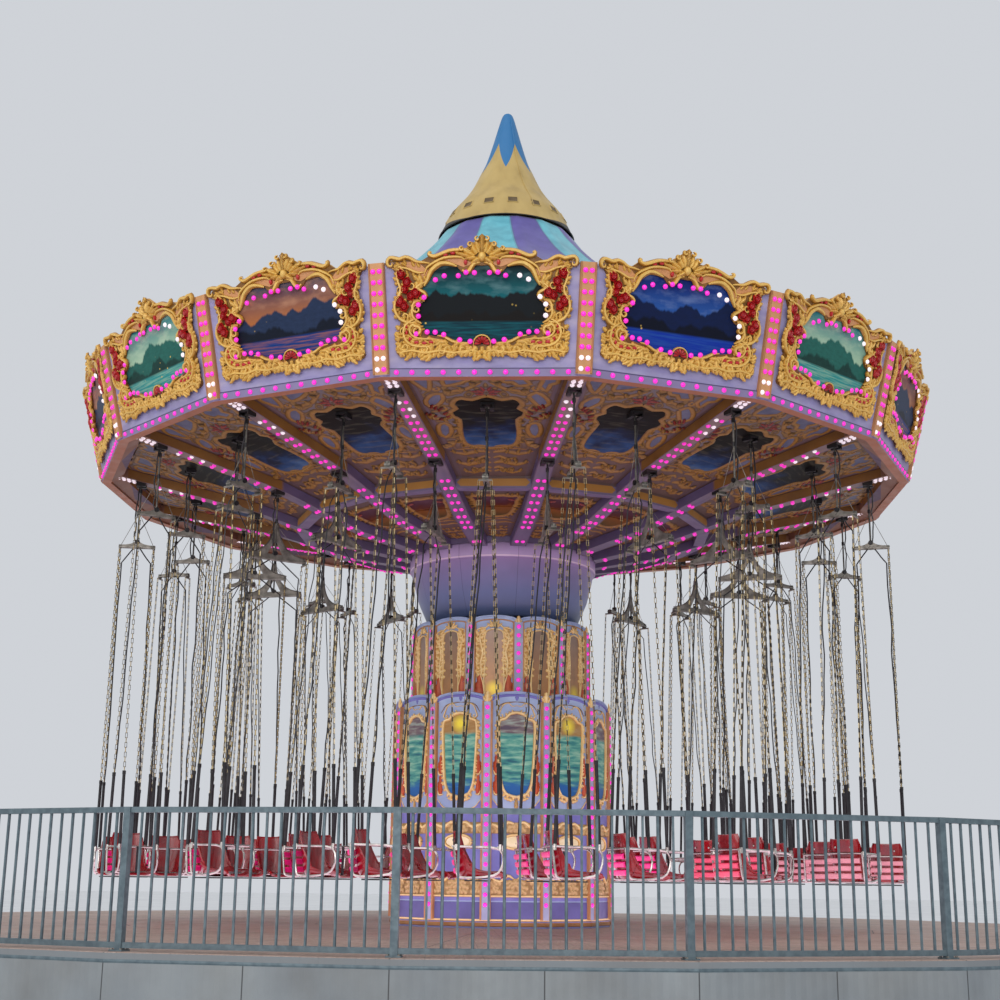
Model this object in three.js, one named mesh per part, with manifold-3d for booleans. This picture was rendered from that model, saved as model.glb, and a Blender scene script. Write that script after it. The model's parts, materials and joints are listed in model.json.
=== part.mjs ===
// A chair swing ride: a raised boarding deck with its safety fence, a telescoping clad mast, a
// tilting bowl, and a slowly turning sixteen-sided canopy with forty-eight hanging seats.
// Millimetres, +Z up. The origin is at the middle of the deck's underside, on the ground.

import * as THREE from 'three';
import { mergeVertices } from 'three/addons/utils/BufferGeometryUtils.js';
import Module from 'manifold-3d';

const wasm = await Module();
wasm.setup();

// Driving dimensions: general
const GAP = 0.3;                 // between pieces that touch
const SIDES = 16;                // canopy sides
const BAY = 360 / SIDES;         // degrees
const CANOPY_TURN = -2.7;        // degrees, how far the canopy stands turned

// Driving dimensions: deck and fence
const DECK_TOP = 1050;
const DECK_RADIUS = 8900;
const DECK_SIDES = 24;
const DECK_PLATE = 60;
const SKIRT_WALL = 60;
const FOUNDATION_RADIUS = 1500;  // under the mast
const FENCE_RADIUS = 8690;
const FENCE_FIRST_POST = -50.4;  // degrees from the front
const FENCE_BAYS = 6;
const FENCE_BARS = 9;            // every second upright of a bay
const FENCE_TOP = 1120;          // above the deck
const FENCE_FOOT_RAIL = 45;
const FENCE_RAIL = 45;
const FENCE_POST = 60;
const FENCE_BAR = 18;

// Driving dimensions: mast
const DRUM_SIDES = 12;
const LOWER_DRUM_TURN = -7;      // degrees from the front to a corner
const UPPER_DRUM_TURN = 10;
const LOWER_DRUM_RADIUS = 1430;
const LOWER_DRUM_TOP = 3850;
const DRUM_WALL = 45;
const PLINTH_RADIUS = 1460;
const PLINTH_HEIGHT = 75;
const UPPER_DRUM_RADIUS = 1190;
const UPPER_DRUM_TOP = 4950;
const UPPER_DRUM_LID = 4600;
const LID = 60;
const SLIDE_GAP = 8;
const PEDESTAL_RADIUS = 240;
const TILT_PIVOT = 5500;         // height of the tilt pin
const PIN_RADIUS = 60;
const PIN_SIDES = 24;
const PIN_REACH = 520;
const LUG_INNER = 330;
const LUG_OUTER = 1140;
const LUG_HALF = [110, 120];     // half the width and the height
const BOWL_BOTTOM = 5024;
const BOWL_TOP = 5950;
const BOWL_WALL = 50;

// Driving dimensions: canopy
const HUB_TOP = 6230;
const HUB_RADIUS = 1330;
const MAST_RADIUS = 150;
const MAST_TOP = 11800;
const RIM_LOW = 6845;            // height of the boards' lower edge
const RIM_LOW_RADIUS = 5531;     // to the corners
const RIM_OUTSIDE = 5421;        // corner radius of the frame's rim
const RIM_HIGH = 7985;
const RIM_HIGH_RADIUS = 5818;
const RIB_SLOPE = 0.225;         // rise of the underside for each millimetre outward
const RIB_FOOT = 6000;           // height that the outer part's underside would have at the bowl
const RIB_BENDS = [[1300, 5900], [2200, 6075]]; // radius and height of the underside's inner bends
const RIB_WIDTH = 210;
const RIB_DEPTH = 120;
const RIB_END = 5330;
const CROSS_BEAM_RADIUS = 2770;
const CROSS_BEAM_WIDTH = 150;
const CEILING_PLATE = 25;
const CEILING_INNER = 1345;
const CEILING_OUTER = 5220;
const BOARD = 40;                // thickness
// Half the crest: across from the bay's middle, and above the boards' upper edge
const CREST = [[1015, 0], [990, 50], [810, 72], [640, 44], [560, 110], [262, 132], [120, 222], [0, 310]];
const PILASTER_WIDTH = 180;
const PILASTER_FRONT = 20;       // before and behind the corner line
const PILASTER_BACK = 100;
const STRIP_HEIGHT = 95;         // lamp strip under the boards
const ROOF_CLOTH = 14;
const EAVE = 7940;
const TOP_RING = [930, 10773];   // edge of the plate that holds the cloth up
const CAP_BOTTOM = 10780;
const CAP_TIP = 12897;

// Driving dimensions: seats
const OUTER_RADIUS = 5014;
const MIDDLE_RADIUS = 4397;
const INNER_RADIUS = 3421;
const HANGER_BAR = 8;            // radius to the corners of the square bar that a seat swings on
const HANGER_REACH = 55;         // half the bar's length
const HANGER_HEADROOM = 19;      // above the bar, where the rod's end turns
const HANGER_LIP = 14;
const HANGER_SLOT = 27;          // half the slot that the rod passes through
const HANGER_DROP = 34;          // from the underside down to the bar
const HANGER_LENGTH = 130;
const ROD = 26;
const ROD_LENGTH = 800;
const YOKE_SINGLE = 240;         // half widths
const YOKE_DOUBLE = 425;
const YOKE_PLATE = 22;
const CHAIN = 9;                 // half width of a chain and its sleeve
const ARM_HEIGHT = 1955;
const PAN_LOW = 1630;
const BACK_TOP = 2110;
const SHELL = 32;
const SEAT_FRONT = 250;
const SEAT_BACK = -230;
const SEAT_SINGLE = 235;         // half widths of the bucket
const SEAT_DOUBLE = 420;

const degrees = (a) => a * Math.PI / 180;
const outerFoot = (r) => RIB_FOOT + RIB_SLOPE * (r - 1288);
const ribBends = [...RIB_BENDS, [INNER_RADIUS, outerFoot(INNER_RADIUS)]];

// Underside of a rib: steeper inward of the inner hangers, flatter near the bowl
function ribFoot(r) {
  if (r >= INNER_RADIUS) return outerFoot(r);
  const next = Math.max(1, ribBends.findIndex(([radius]) => radius >= r));
  const [a, b] = [ribBends[next - 1], ribBends[next]];
  return a[1] + (r - a[0]) / (b[0] - a[0]) * (b[1] - a[1]);
}

const ceilingFoot = (r) => ribFoot(r) + RIB_DEPTH + GAP;

// Solids

function solid(geometry) {
  const bare = geometry.clone();
  bare.deleteAttribute('normal');
  bare.deleteAttribute('uv');
  const merged = mergeVertices(bare, 1e-3);
  return new wasm.Manifold(new wasm.Mesh({
    numProp: 3,
    vertProperties: Float32Array.from(merged.attributes.position.array),
    triVerts: Uint32Array.from(merged.index.array),
  }));
}

function geometryOf(body) {
  const mesh = body.getMesh();
  const geometry = new THREE.BufferGeometry();
  const positions = Float32Array.from(mesh.vertProperties);
  geometry.setAttribute('position', new THREE.BufferAttribute(positions, 3));
  geometry.setIndex(new THREE.BufferAttribute(Uint32Array.from(mesh.triVerts), 1));
  geometry.computeVertexNormals();
  return geometry;
}

const unite = (bodies) => bodies.reduce((sum, body) => sum.add(body));

function place(geometry, { at = [0, 0, 0], turn = 0, lean = 0 } = {}) {
  const matrix = new THREE.Matrix4().makeRotationZ(degrees(turn));
  matrix.multiply(new THREE.Matrix4().makeTranslation(...at));
  matrix.multiply(new THREE.Matrix4().makeRotationY(lean));
  return geometry.clone().applyMatrix4(matrix);
}

// A box between two opposite corners
function box(low, high) {
  const geometry = new THREE.BoxGeometry(high[0] - low[0], high[1] - low[1], high[2] - low[2]);
  return geometry.translate((high[0] + low[0]) / 2, (high[1] + low[1]) / 2, (high[2] + low[2]) / 2);
}

// A straight bar of few sides between two points
function bar(from, to, radius, sides = 4) {
  const a = new THREE.Vector3(...from);
  const b = new THREE.Vector3(...to);
  const geometry = new THREE.CylinderGeometry(radius, radius, a.distanceTo(b), sides, 1);
  geometry.rotateY(Math.PI / sides);
  const up = new THREE.Vector3(0, 1, 0);
  geometry.applyQuaternion(new THREE.Quaternion().setFromUnitVectors(up, b.clone().sub(a).normalize()));
  return geometry.translate((a.x + b.x) / 2, (a.y + b.y) / 2, (a.z + b.z) / 2);
}

// An outline in X and Z, given a thickness along Y
function plateXZ(points, thickness) {
  const shape = new THREE.Shape(points.map(([x, z]) => new THREE.Vector2(x, z)));
  const geometry = new THREE.ExtrudeGeometry(shape, { depth: thickness, bevelEnabled: false });
  return geometry.rotateX(Math.PI / 2).translate(0, thickness / 2, 0);
}

// An outline in X and Y between two heights
function plateXY(points, low, high) {
  const shape = new THREE.Shape(points.map(([x, y]) => new THREE.Vector2(x, y)));
  return new THREE.ExtrudeGeometry(shape, { depth: high - low, bevelEnabled: false }).translate(0, 0, low);
}

// An outline in Y and Z, given a thickness along X
function plateYZ(points, thickness) {
  const shape = new THREE.Shape(points.map(([y, z]) => new THREE.Vector2(y, z)));
  const geometry = new THREE.ExtrudeGeometry(shape, { depth: thickness, bevelEnabled: false });
  return geometry.rotateX(Math.PI / 2).rotateZ(Math.PI / 2).translate(-thickness / 2, 0, 0);
}

// A turned solid with a corner at the angle given; the profile is a closed list of [radius, height]
function turned(profile, sides, corner = 0) {
  const points = [...profile, profile[0]].map(([r, z]) => new THREE.Vector2(r, z));
  return new THREE.LatheGeometry(points, sides).rotateX(Math.PI / 2).rotateZ(degrees(corner));
}

// A regular prism about the axis, radius to the corners
function prism(radius, low, high, sides, corner = 0) {
  return turned([[0, low], [radius, low], [radius, high], [0, high]], sides, corner);
}

// Materials

function finish(color, roughness, metalness = 0) {
  return new THREE.MeshStandardMaterial({ color, roughness, metalness });
}

const paint = {
  deck: finish('#a98b7c', 0.7),
  steel: finish('#6f7f86', 0.5, 0.7),
  lavender: finish('#8d84c4', 0.5),
  gold: finish('#c99a3a', 0.4, 0.2),
  bowl: finish('#7f78b8', 0.35),
  frame: finish('#6d6488', 0.55),
  ceiling: finish('#8a7060', 0.6),
  roof: finish('#5fb7b5', 0.7),
  cap: finish('#d8c07a', 0.6),
  seat: finish('#a01322', 0.3),
};

function piece(name, body, material) {
  const mesh = new THREE.Mesh(geometryOf(body), material);
  mesh.name = name;
  return mesh;
}

// Deck, fence and mast

const deckCorner = FENCE_FIRST_POST - 90;
const deckFoot = DECK_TOP - DECK_PLATE;

function boardingDeck() {
  const floor = solid(prism(DECK_RADIUS, deckFoot, DECK_TOP, DECK_SIDES, deckCorner));
  return piece('boarding_deck', floor, paint.deck);
}

function deckSkirt() {
  const outer = solid(prism(DECK_RADIUS, 0, deckFoot - GAP, DECK_SIDES, deckCorner));
  const inner = solid(prism(DECK_RADIUS - SKIRT_WALL, -10, deckFoot + 10, DECK_SIDES, deckCorner));
  return piece('deck_skirt', outer.subtract(inner), paint.deck);
}

function centreFoundation() {
  const block = solid(prism(FOUNDATION_RADIUS, 0, deckFoot - GAP, DECK_SIDES, deckCorner));
  return piece('centre_foundation', block, paint.steel);
}

function fenceBay(index) {
  const step = 360 / DECK_SIDES;
  const half = FENCE_RADIUS * Math.sin(degrees(step / 2));
  const reach = FENCE_RADIUS * Math.cos(degrees(step / 2));
  const rail = FENCE_RAIL / 2;
  const rails = [FENCE_TOP - rail, FENCE_FOOT_RAIL].map((height) =>
    box([reach - rail, -half, height - rail], [reach + rail, half, height + rail]));
  const bars = Array.from({ length: FENCE_BARS }, (_, i) => {
    const y = -half + (2 * i + 2) * 2 * half / (2 * FENCE_BARS + 1);
    const b = FENCE_BAR / 2;
    return box([reach - b, y - b, FENCE_FOOT_RAIL], [reach + b, y + b, FENCE_TOP - rail]);
  });
  const turn = deckCorner + (index + 0.5) * step;
  return unite([...rails, ...bars].map((part) => solid(place(part, { turn }))));
}

function safetyFence() {
  const posts = Array.from({ length: FENCE_BAYS + 1 }, (_, i) => {
    const p = FENCE_POST / 2;
    const post = box([FENCE_RADIUS - p, -p, 0], [FENCE_RADIUS + p, p, FENCE_TOP]);
    return solid(place(post, { turn: deckCorner + i * 360 / DECK_SIDES }));
  });
  const bays = Array.from({ length: FENCE_BAYS }, (_, i) => fenceBay(i));
  const fence = piece('safety_fence', unite([...posts, ...bays]), paint.steel);
  fence.position.z = DECK_TOP + GAP;
  return fence;
}

// The lid has a hole that the upper drum slides in
function lowerDrum() {
  const foot = DECK_TOP + GAP;
  const inner = LOWER_DRUM_RADIUS - DRUM_WALL;
  const plinthTop = foot + PLINTH_HEIGHT;
  const lid = LOWER_DRUM_TOP - LID;
  const shell = solid(turned([
    [inner, foot], [PLINTH_RADIUS, foot], [PLINTH_RADIUS, plinthTop], [LOWER_DRUM_RADIUS, plinthTop + 20],
    [LOWER_DRUM_RADIUS, LOWER_DRUM_TOP], [0, LOWER_DRUM_TOP], [0, lid], [inner, lid],
  ], DRUM_SIDES, LOWER_DRUM_TURN - 90));
  const slide = UPPER_DRUM_RADIUS + SLIDE_GAP;
  const hole = solid(prism(slide, lid - 10, LOWER_DRUM_TOP + 10, DRUM_SIDES, UPPER_DRUM_TURN - 90));
  return piece('lower_drum', shell.subtract(hole), paint.lavender);
}

function upperDrum() {
  const foot = DECK_TOP + GAP;
  const inner = UPPER_DRUM_RADIUS - DRUM_WALL;
  const lid = UPPER_DRUM_LID;
  const shell = turned([
    [inner, foot], [UPPER_DRUM_RADIUS, foot], [UPPER_DRUM_RADIUS, UPPER_DRUM_TOP], [inner, UPPER_DRUM_TOP],
    [inner, lid], [0, lid], [0, lid - LID], [inner, lid - LID],
  ], DRUM_SIDES, UPPER_DRUM_TURN - 90);
  const column = prism(PEDESTAL_RADIUS, lid - 10, TILT_PIVOT + 130, 16);
  const pin = bar([0, -PIN_REACH, TILT_PIVOT], [0, PIN_REACH, TILT_PIVOT], PIN_RADIUS, PIN_SIDES);
  return piece('upper_drum', unite([shell, column, pin].map(solid)), paint.lavender);
}

function bowl() {
  const w = BOWL_WALL;
  const shell = solid(turned([
    [600, BOWL_BOTTOM], [1012, BOWL_BOTTOM], [1110, 5230], [1200, 5490], [1255, 5740],
    [1288, 5760], [1288, BOWL_TOP], [1000, BOWL_TOP], [1000, BOWL_TOP - 90], [1205 - w, 5740],
    [1150 - w, 5490], [985 - w, BOWL_BOTTOM + w], [600, BOWL_BOTTOM + w],
  ], 20));
  const hole = (PIN_RADIUS + GAP) / Math.cos(Math.PI / PIN_SIDES);
  const reach = PIN_REACH + 20;
  const cutter = solid(bar([0, -reach, TILT_PIVOT], [0, reach, TILT_PIVOT], hole, PIN_SIDES));
  const lug = box([-LUG_HALF[0], LUG_INNER, TILT_PIVOT - LUG_HALF[1]],
    [LUG_HALF[0], LUG_OUTER, TILT_PIVOT + LUG_HALF[1]]);
  const lugs = [0, 180].map((turn) => solid(place(lug, { turn })));
  return piece('bowl', unite([shell, ...lugs]).subtract(cutter), paint.bowl);
}

// Canopy

// The head that carries a seat: a channel with its slot along the radius, and lips under the bar
function hangerHead() {
  const lip = -HANGER_BAR - GAP;
  const foot = lip - HANGER_LIP;
  const inside = HANGER_REACH + 6;
  const wall = inside + 16;
  const top = HANGER_DROP + 24;
  const slot = HANGER_SLOT;
  return plateYZ([
    [-wall, foot], [-slot, foot], [-slot, lip], [-inside, lip], [-inside, HANGER_HEADROOM],
    [inside, HANGER_HEADROOM], [inside, lip], [slot, lip], [slot, foot], [wall, foot], [wall, top], [-wall, top],
  ], HANGER_LENGTH);
}

const hangerHeight = (r, foot) => foot(r) - HANGER_DROP;
const headAt = (r, foot, turn) => solid(place(hangerHead(), { at: [r, 0, hangerHeight(r, foot)], turn }));

const ribTurn = (k) => CANOPY_TURN - 90 + (k + 0.5) * BAY;
const bayTurn = (k) => CANOPY_TURN - 90 + k * BAY;
const bays = Array.from({ length: SIDES }, (_, k) => k);

function rib(k) {
  const foot = [...ribBends, [RIB_END, ribFoot(RIB_END)]];
  const side = [...foot, ...foot.map(([r, z]) => [r, z + RIB_DEPTH]).reverse()];
  return solid(place(plateXZ(side, RIB_WIDTH), { turn: ribTurn(k) }));
}

function canopyFrame() {
  const corner = ribTurn(0);
  const rimIn = RIM_LOW_RADIUS - 260;
  const rimFoot = RIM_LOW + 5;
  const rimTop = RIM_LOW + 260;
  const hub = turned([
    [0, BOWL_TOP + GAP], [HUB_RADIUS, BOWL_TOP + GAP], [HUB_RADIUS, HUB_TOP], [MAST_RADIUS, HUB_TOP],
    [MAST_RADIUS, TOP_RING[1] - 60], TOP_RING, [MAST_RADIUS, TOP_RING[1]], [MAST_RADIUS, MAST_TOP],
    [0, MAST_TOP],
  ], SIDES, corner);
  const rim = turned([
    [rimIn, rimFoot + 60], [RIM_OUTSIDE, rimFoot], [RIM_OUTSIDE, rimTop], [rimIn, rimTop],
  ], SIDES, corner);
  const heads = bays.flatMap((k) => [OUTER_RADIUS, INNER_RADIUS].map((r) => headAt(r, ribFoot, ribTurn(k))));
  return piece('canopy_frame', unite([solid(hub), solid(rim), ...bays.map(rib), ...heads]), paint.frame);
}

// Underside of the ceiling in the middle of a bay: the panels are flat from rib to rib
const flatten = Math.cos(degrees(BAY / 2));
const middleFoot = (r) => ceilingFoot(r / flatten);

// A beam across the bay under the ceiling, from rib to rib
function crossBeam(k) {
  const inner = CROSS_BEAM_RADIUS - CROSS_BEAM_WIDTH / 2;
  const outer = CROSS_BEAM_RADIUS + CROSS_BEAM_WIDTH / 2;
  const side = (r) => r * Math.tan(degrees(BAY / 2)) - (RIB_WIDTH / 2 + GAP) / flatten;
  const outline = [[inner, -side(inner)], [outer, -side(outer)], [outer, side(outer)], [inner, side(inner)]];
  const foot = ribFoot(CROSS_BEAM_RADIUS) + 12;
  return solid(place(plateXY(outline, foot, middleFoot(outer) + 5), { turn: bayTurn(k) }));
}

// Ceiling panels lie on the ribs and carry the cross beams and the heads of the middle hangers
function ceiling() {
  const foot = [CEILING_INNER, ...ribBends.slice(1).map(([r]) => r), CEILING_OUTER].map((r) => [r, ceilingFoot(r)]);
  const top = foot.map(([r, z]) => [r, z + CEILING_PLATE]).reverse();
  const plates = turned([...foot, ...top], SIDES, ribTurn(0));
  const heads = bays.map((k) => headAt(MIDDLE_RADIUS, middleFoot, bayTurn(k)));
  return piece('ceiling_panels', unite([solid(plates), ...bays.map(crossBeam), ...heads]), paint.ceiling);
}

const boardLean = Math.atan2((RIM_HIGH_RADIUS - RIM_LOW_RADIUS) * flatten, RIM_HIGH - RIM_LOW);

// One leaning board: outline across the bay and up the slope, with its carved crest
function board(k) {
  const slope = Math.hypot((RIM_HIGH_RADIUS - RIM_LOW_RADIUS) * flatten, RIM_HIGH - RIM_LOW);
  const lowHalf = RIM_LOW_RADIUS * Math.sin(degrees(BAY / 2));
  const highHalf = RIM_HIGH_RADIUS * Math.sin(degrees(BAY / 2));
  const left = CREST.map(([x, z]) => [-x, slope + z]);
  const right = CREST.slice(0, -1).reverse().map(([x, z]) => [x, slope + z]);
  const outline = [[-lowHalf, 0], [-highHalf, slope], ...left, ...right, [highHalf, slope], [lowHalf, 0]];
  const at = [RIM_LOW_RADIUS * flatten - BOARD / 2, 0, RIM_LOW];
  return solid(place(plateYZ(outline, BOARD), { at, turn: bayTurn(k), lean: boardLean }));
}

const cornerLean = Math.atan2(RIM_HIGH_RADIUS - RIM_LOW_RADIUS, RIM_HIGH - RIM_LOW);

// Radius of a pilaster's back at a height
function pilasterBack(z) {
  const along = (z - RIM_LOW - PILASTER_BACK * Math.sin(cornerLean)) / Math.cos(cornerLean);
  return RIM_LOW_RADIUS - PILASTER_BACK * Math.cos(cornerLean) + along * Math.sin(cornerLean);
}

function pilaster(k) {
  const length = Math.hypot(RIM_HIGH_RADIUS - RIM_LOW_RADIUS, RIM_HIGH - RIM_LOW);
  const w = PILASTER_WIDTH / 2;
  const shape = box([-PILASTER_BACK, -w, -10], [PILASTER_FRONT, w, length + 20]);
  return solid(place(shape, { at: [RIM_LOW_RADIUS, 0, RIM_LOW], turn: ribTurn(k), lean: cornerLean }));
}

function roundingBoards() {
  const strip = turned([
    [RIM_OUTSIDE + GAP, RIM_LOW - 25], [RIM_LOW_RADIUS + 12, RIM_LOW - 25],
    [RIM_LOW_RADIUS + 30, RIM_LOW + STRIP_HEIGHT - 25], [RIM_OUTSIDE + GAP, RIM_LOW + STRIP_HEIGHT - 25],
  ], SIDES, ribTurn(0));
  return piece('rounding_boards', unite([solid(strip), ...bays.map(board), ...bays.map(pilaster)]), paint.gold);
}

function roofCanvas() {
  const outside = [[pilasterBack(EAVE) - GAP, EAVE], [4100, 8560], [2700, 9270], [1750, 9940], [1250, 10430],
    [1010, 10740], [900, 10820]];
  const inside = outside.map(([r, z]) => [r - ROOF_CLOTH, z - ROOF_CLOTH]).reverse();
  return piece('roof_canvas', solid(turned([...outside, ...inside], SIDES, ribTurn(0))), paint.roof);
}

function roofCap() {
  const wall = 20;
  const outside = [[1000, CAP_BOTTOM], [870, 11085], [650, 11385], [396, 11856], [181, 12491], [75, 12850],
    [0, CAP_TIP]];
  const inside = [[0, MAST_TOP + GAP], [MAST_RADIUS + 70, MAST_TOP + GAP], [490, 11380], [735, 11040],
    [1000 - wall, CAP_BOTTOM]];
  return piece('roof_cap', solid(turned([...outside, ...inside], 20, ribTurn(0))), paint.cap);
}

// Seats

// A square bar along Y with one corner down
function diamond(reach, radius) {
  return plateXZ([[0, radius], [radius, 0], [0, -radius], [-radius, 0]], 2 * reach);
}

// Rod and yoke in one outline
function hanger(half, foot) {
  const rod = ROD / 2;
  return plateXZ([[-rod, 8], [rod, 8], [rod, foot + 200], [half, foot + 36], [half, foot], [-half, foot],
    [-half, foot + 36], [-rod, foot + 200]], YOKE_PLATE);
}

// The chains, sleeves and arm rail of one side: a closed triangle hung from the yoke's end
function sideFrame(yokeFoot, armHeight) {
  const c = CHAIN;
  const back = SEAT_BACK - 16;
  const front = SEAT_FRONT - 40;
  const shape = new THREE.Shape([[-c, yokeFoot + 20], [back - c, armHeight - c], [front + c, armHeight - c],
    [c, yokeFoot + 20]].map(([y, z]) => new THREE.Vector2(y, z)));
  const gap = [[0, yokeFoot - 160], [front - c, armHeight + c], [back + c, armHeight + c]];
  shape.holes.push(new THREE.Path(gap.map(([y, z]) => new THREE.Vector2(y, z))));
  const geometry = new THREE.ExtrudeGeometry(shape, { depth: 2 * c, bevelEnabled: false });
  return geometry.rotateX(Math.PI / 2).rotateZ(Math.PI / 2).translate(-c, 0, 0);
}

function bucket(half, level) {
  return plateYZ([
    [SEAT_BACK - 60, level(BACK_TOP)], [SEAT_BACK, level(PAN_LOW)], [SEAT_FRONT - 30, level(PAN_LOW)],
    [SEAT_FRONT - 30, level(PAN_LOW) + SHELL], [SEAT_BACK + SHELL, level(PAN_LOW) + SHELL],
    [SEAT_BACK - 60 + SHELL, level(BACK_TOP)],
  ], half * 2);
}

function seatBody(pivot, yokeHalf, seatHalf) {
  const level = (z) => z - pivot;
  const yokeFoot = -ROD_LENGTH - 50;
  const side = seatHalf - CHAIN - 3;
  const arm = level(ARM_HEIGHT);
  const lap = CHAIN - 1;
  const parts = [
    diamond(HANGER_REACH, HANGER_BAR),
    hanger(yokeHalf, yokeFoot),
    bucket(seatHalf, level),
    box([-side, SEAT_FRONT - 60 - lap, arm - lap], [side, SEAT_FRONT - 60 + lap, arm + lap]),
    sideFrame(yokeFoot, arm).translate(side, 0, 0),
    sideFrame(yokeFoot, arm).translate(-side, 0, 0),
  ];
  return unite(parts.map(solid));
}

const single = { yokeHalf: YOKE_SINGLE, seatHalf: SEAT_SINGLE };
const double = { yokeHalf: YOKE_DOUBLE, seatHalf: SEAT_DOUBLE };
const rows = [
  { name: 'outer', radius: OUTER_RADIUS, foot: ribFoot, turn: ribTurn, ...single },
  { name: 'middle', radius: MIDDLE_RADIUS, foot: middleFoot, turn: bayTurn, ...single },
  { name: 'inner', radius: INNER_RADIUS, foot: ribFoot, turn: ribTurn, ...double },
];

function seatRow({ name, radius, foot, turn, yokeHalf, seatHalf }) {
  const pivot = hangerHeight(radius, foot);
  const geometry = geometryOf(seatBody(pivot, yokeHalf, seatHalf));
  const group = new THREE.Group();
  for (const k of bays) {
    const arm = new THREE.Group();
    arm.rotation.z = degrees(turn(k));
    const mesh = new THREE.Mesh(geometry, paint.seat);
    mesh.name = `seat_${name}_${String(k + 1).padStart(2, '0')}`;
    mesh.position.set(radius, 0, pivot);
    arm.add(mesh);
    group.add(arm);
  }
  return group;
}

const ride = new THREE.Group();
ride.add(boardingDeck(), deckSkirt(), centreFoundation(), safetyFence(), lowerDrum(), upperDrum(), bowl(),
  canopyFrame(), ceiling(), roundingBoards(), roofCanvas(), roofCap(), ...rows.map(seatRow));

export default ride;
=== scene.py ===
"""The look of the chair swing ride, dressed on the CAD frame. Metres, +Z up."""
import json
import math
import random

import bpy
from mathutils import Matrix, Vector
from mathutils.geometry import tessellate_polygon


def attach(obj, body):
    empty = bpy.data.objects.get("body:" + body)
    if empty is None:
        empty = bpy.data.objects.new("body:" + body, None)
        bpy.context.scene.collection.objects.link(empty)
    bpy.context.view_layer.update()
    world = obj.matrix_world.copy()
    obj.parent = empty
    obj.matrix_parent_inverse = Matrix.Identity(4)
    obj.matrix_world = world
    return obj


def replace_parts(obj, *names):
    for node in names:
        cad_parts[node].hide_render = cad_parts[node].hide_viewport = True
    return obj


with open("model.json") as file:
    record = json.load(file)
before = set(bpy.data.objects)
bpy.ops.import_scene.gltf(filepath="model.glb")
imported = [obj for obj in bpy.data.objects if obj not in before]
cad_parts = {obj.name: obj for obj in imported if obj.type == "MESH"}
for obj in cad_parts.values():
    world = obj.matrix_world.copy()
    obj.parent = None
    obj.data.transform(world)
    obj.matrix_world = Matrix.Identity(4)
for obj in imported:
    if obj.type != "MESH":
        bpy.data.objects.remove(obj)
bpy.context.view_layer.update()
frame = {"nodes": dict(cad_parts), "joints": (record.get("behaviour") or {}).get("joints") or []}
dice = random.Random(5)

# Camera, fitted to the photograph
EYE = (-0.051, -20.5, 1.626)
FOCAL = 1492.33                    # pixels, in a picture 1000 pixels wide
PITCH, ROLL = 0.2495, 0.0114

# Canopy
SIDES = 16
BAY = math.tau / SIDES
FLAT = math.cos(BAY / 2)           # a side's middle against its corner
FIRST_BAY = math.radians(-92.7)
FIRST_RIB = FIRST_BAY + BAY / 2
BOARD_OUT = 0.287                  # how far a board leans out at its corners
BOARD_HIGH = 1.14
BOARD_FOOT = (5.4241, 6.8402)      # radius and height of a board's lower edge, on its outer face
BOARD_LEAN = math.atan2(BOARD_OUT * FLAT, BOARD_HIGH)
CORNER_FOOT = (5.531, 6.845)
CORNER_LEAN = math.atan2(BOARD_OUT, BOARD_HIGH)
RIB_HALF = 0.105
RIB_DEPTH = 0.12
CEILING_LIFT = RIB_DEPTH + 0.0003  # of the ceiling over the ribs' underside
# The underside bends twice on its way in: radius where each part starts, its slope, and its height on the axis
UNDERSIDE = ((3.421, 0.225, 6.0 - 0.225 * 1.288), (2.2, 0.33163, 5.3454), (1.3, 0.19444, 5.6472))
BEAM = (2.695, 2.845)              # a cross beam's radii
BEAM_FOOT = 5.3454 + 0.33163 * 2.77 + 0.012

# Mast
DRUM_SIDES = 12
SECTOR = math.tau / DRUM_SIDES
LOWER_CORNER = math.radians(-97)
UPPER_CORNER = math.radians(-80)
LOWER_RADIUS, LOWER_TOP = 1.43, 3.85
UPPER_RADIUS, UPPER_TOP = 1.19, 4.95
DECK_TOP = 1.05
DECK_RADIUS = 8.9
DECK_SIDES = 24
DECK_CORNER = math.radians(-140.4)
FENCE_RADIUS, FENCE_BAYS, FENCE_BARS = 8.69, 6, 9
FENCE_FOOT, FENCE_TOP = 1.0953, 2.148

# Seats
ROD_LENGTH = 0.8
YOKE_FOOT = -0.85
ARM_HEIGHT = 1.955
BACK_TOP = 2.11
SLEEVE = 0.85                      # length
LINK = 0.056                       # a chain link's pitch
CHROME = 0.0125                    # radius of the chrome tubes
CHAIN_INSET = 0.017                # of a chain from the yoke's end
ARM_ENDS = (-0.246, 0.21)          # where the chains meet an arm rail, from back to front
SLAT = 0.057                       # a slat's height
SLAT_FOOT, SLAT_PITCH = 1.688, 0.083
ROSE_GLOW_FROM, PALE_GLOW_FROM = 1.9, 3.3    # painted light: seats hung to the right of these get paler slats that glow less, as if the pink lamps lit them less

# Lamps
LAMP = 0.029                       # a cabochon's radius
POST_PITCH = 0.1165                # of the lamps along a board's pilaster and the upper drum's


# Materials

LOOKS = {}
HEAD_BLACK = "#141317"             # the hanger heads' plates


def tone(code):
    """A linear colour from its sRGB code, such as #9e91b6."""
    values = [int(code[i:i + 2], 16) / 255 for i in (1, 3, 5)]
    return (*[v / 12.92 if v < 0.04045 else ((v + 0.055) / 1.055) ** 2.4 for v in values], 1.0)


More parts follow.
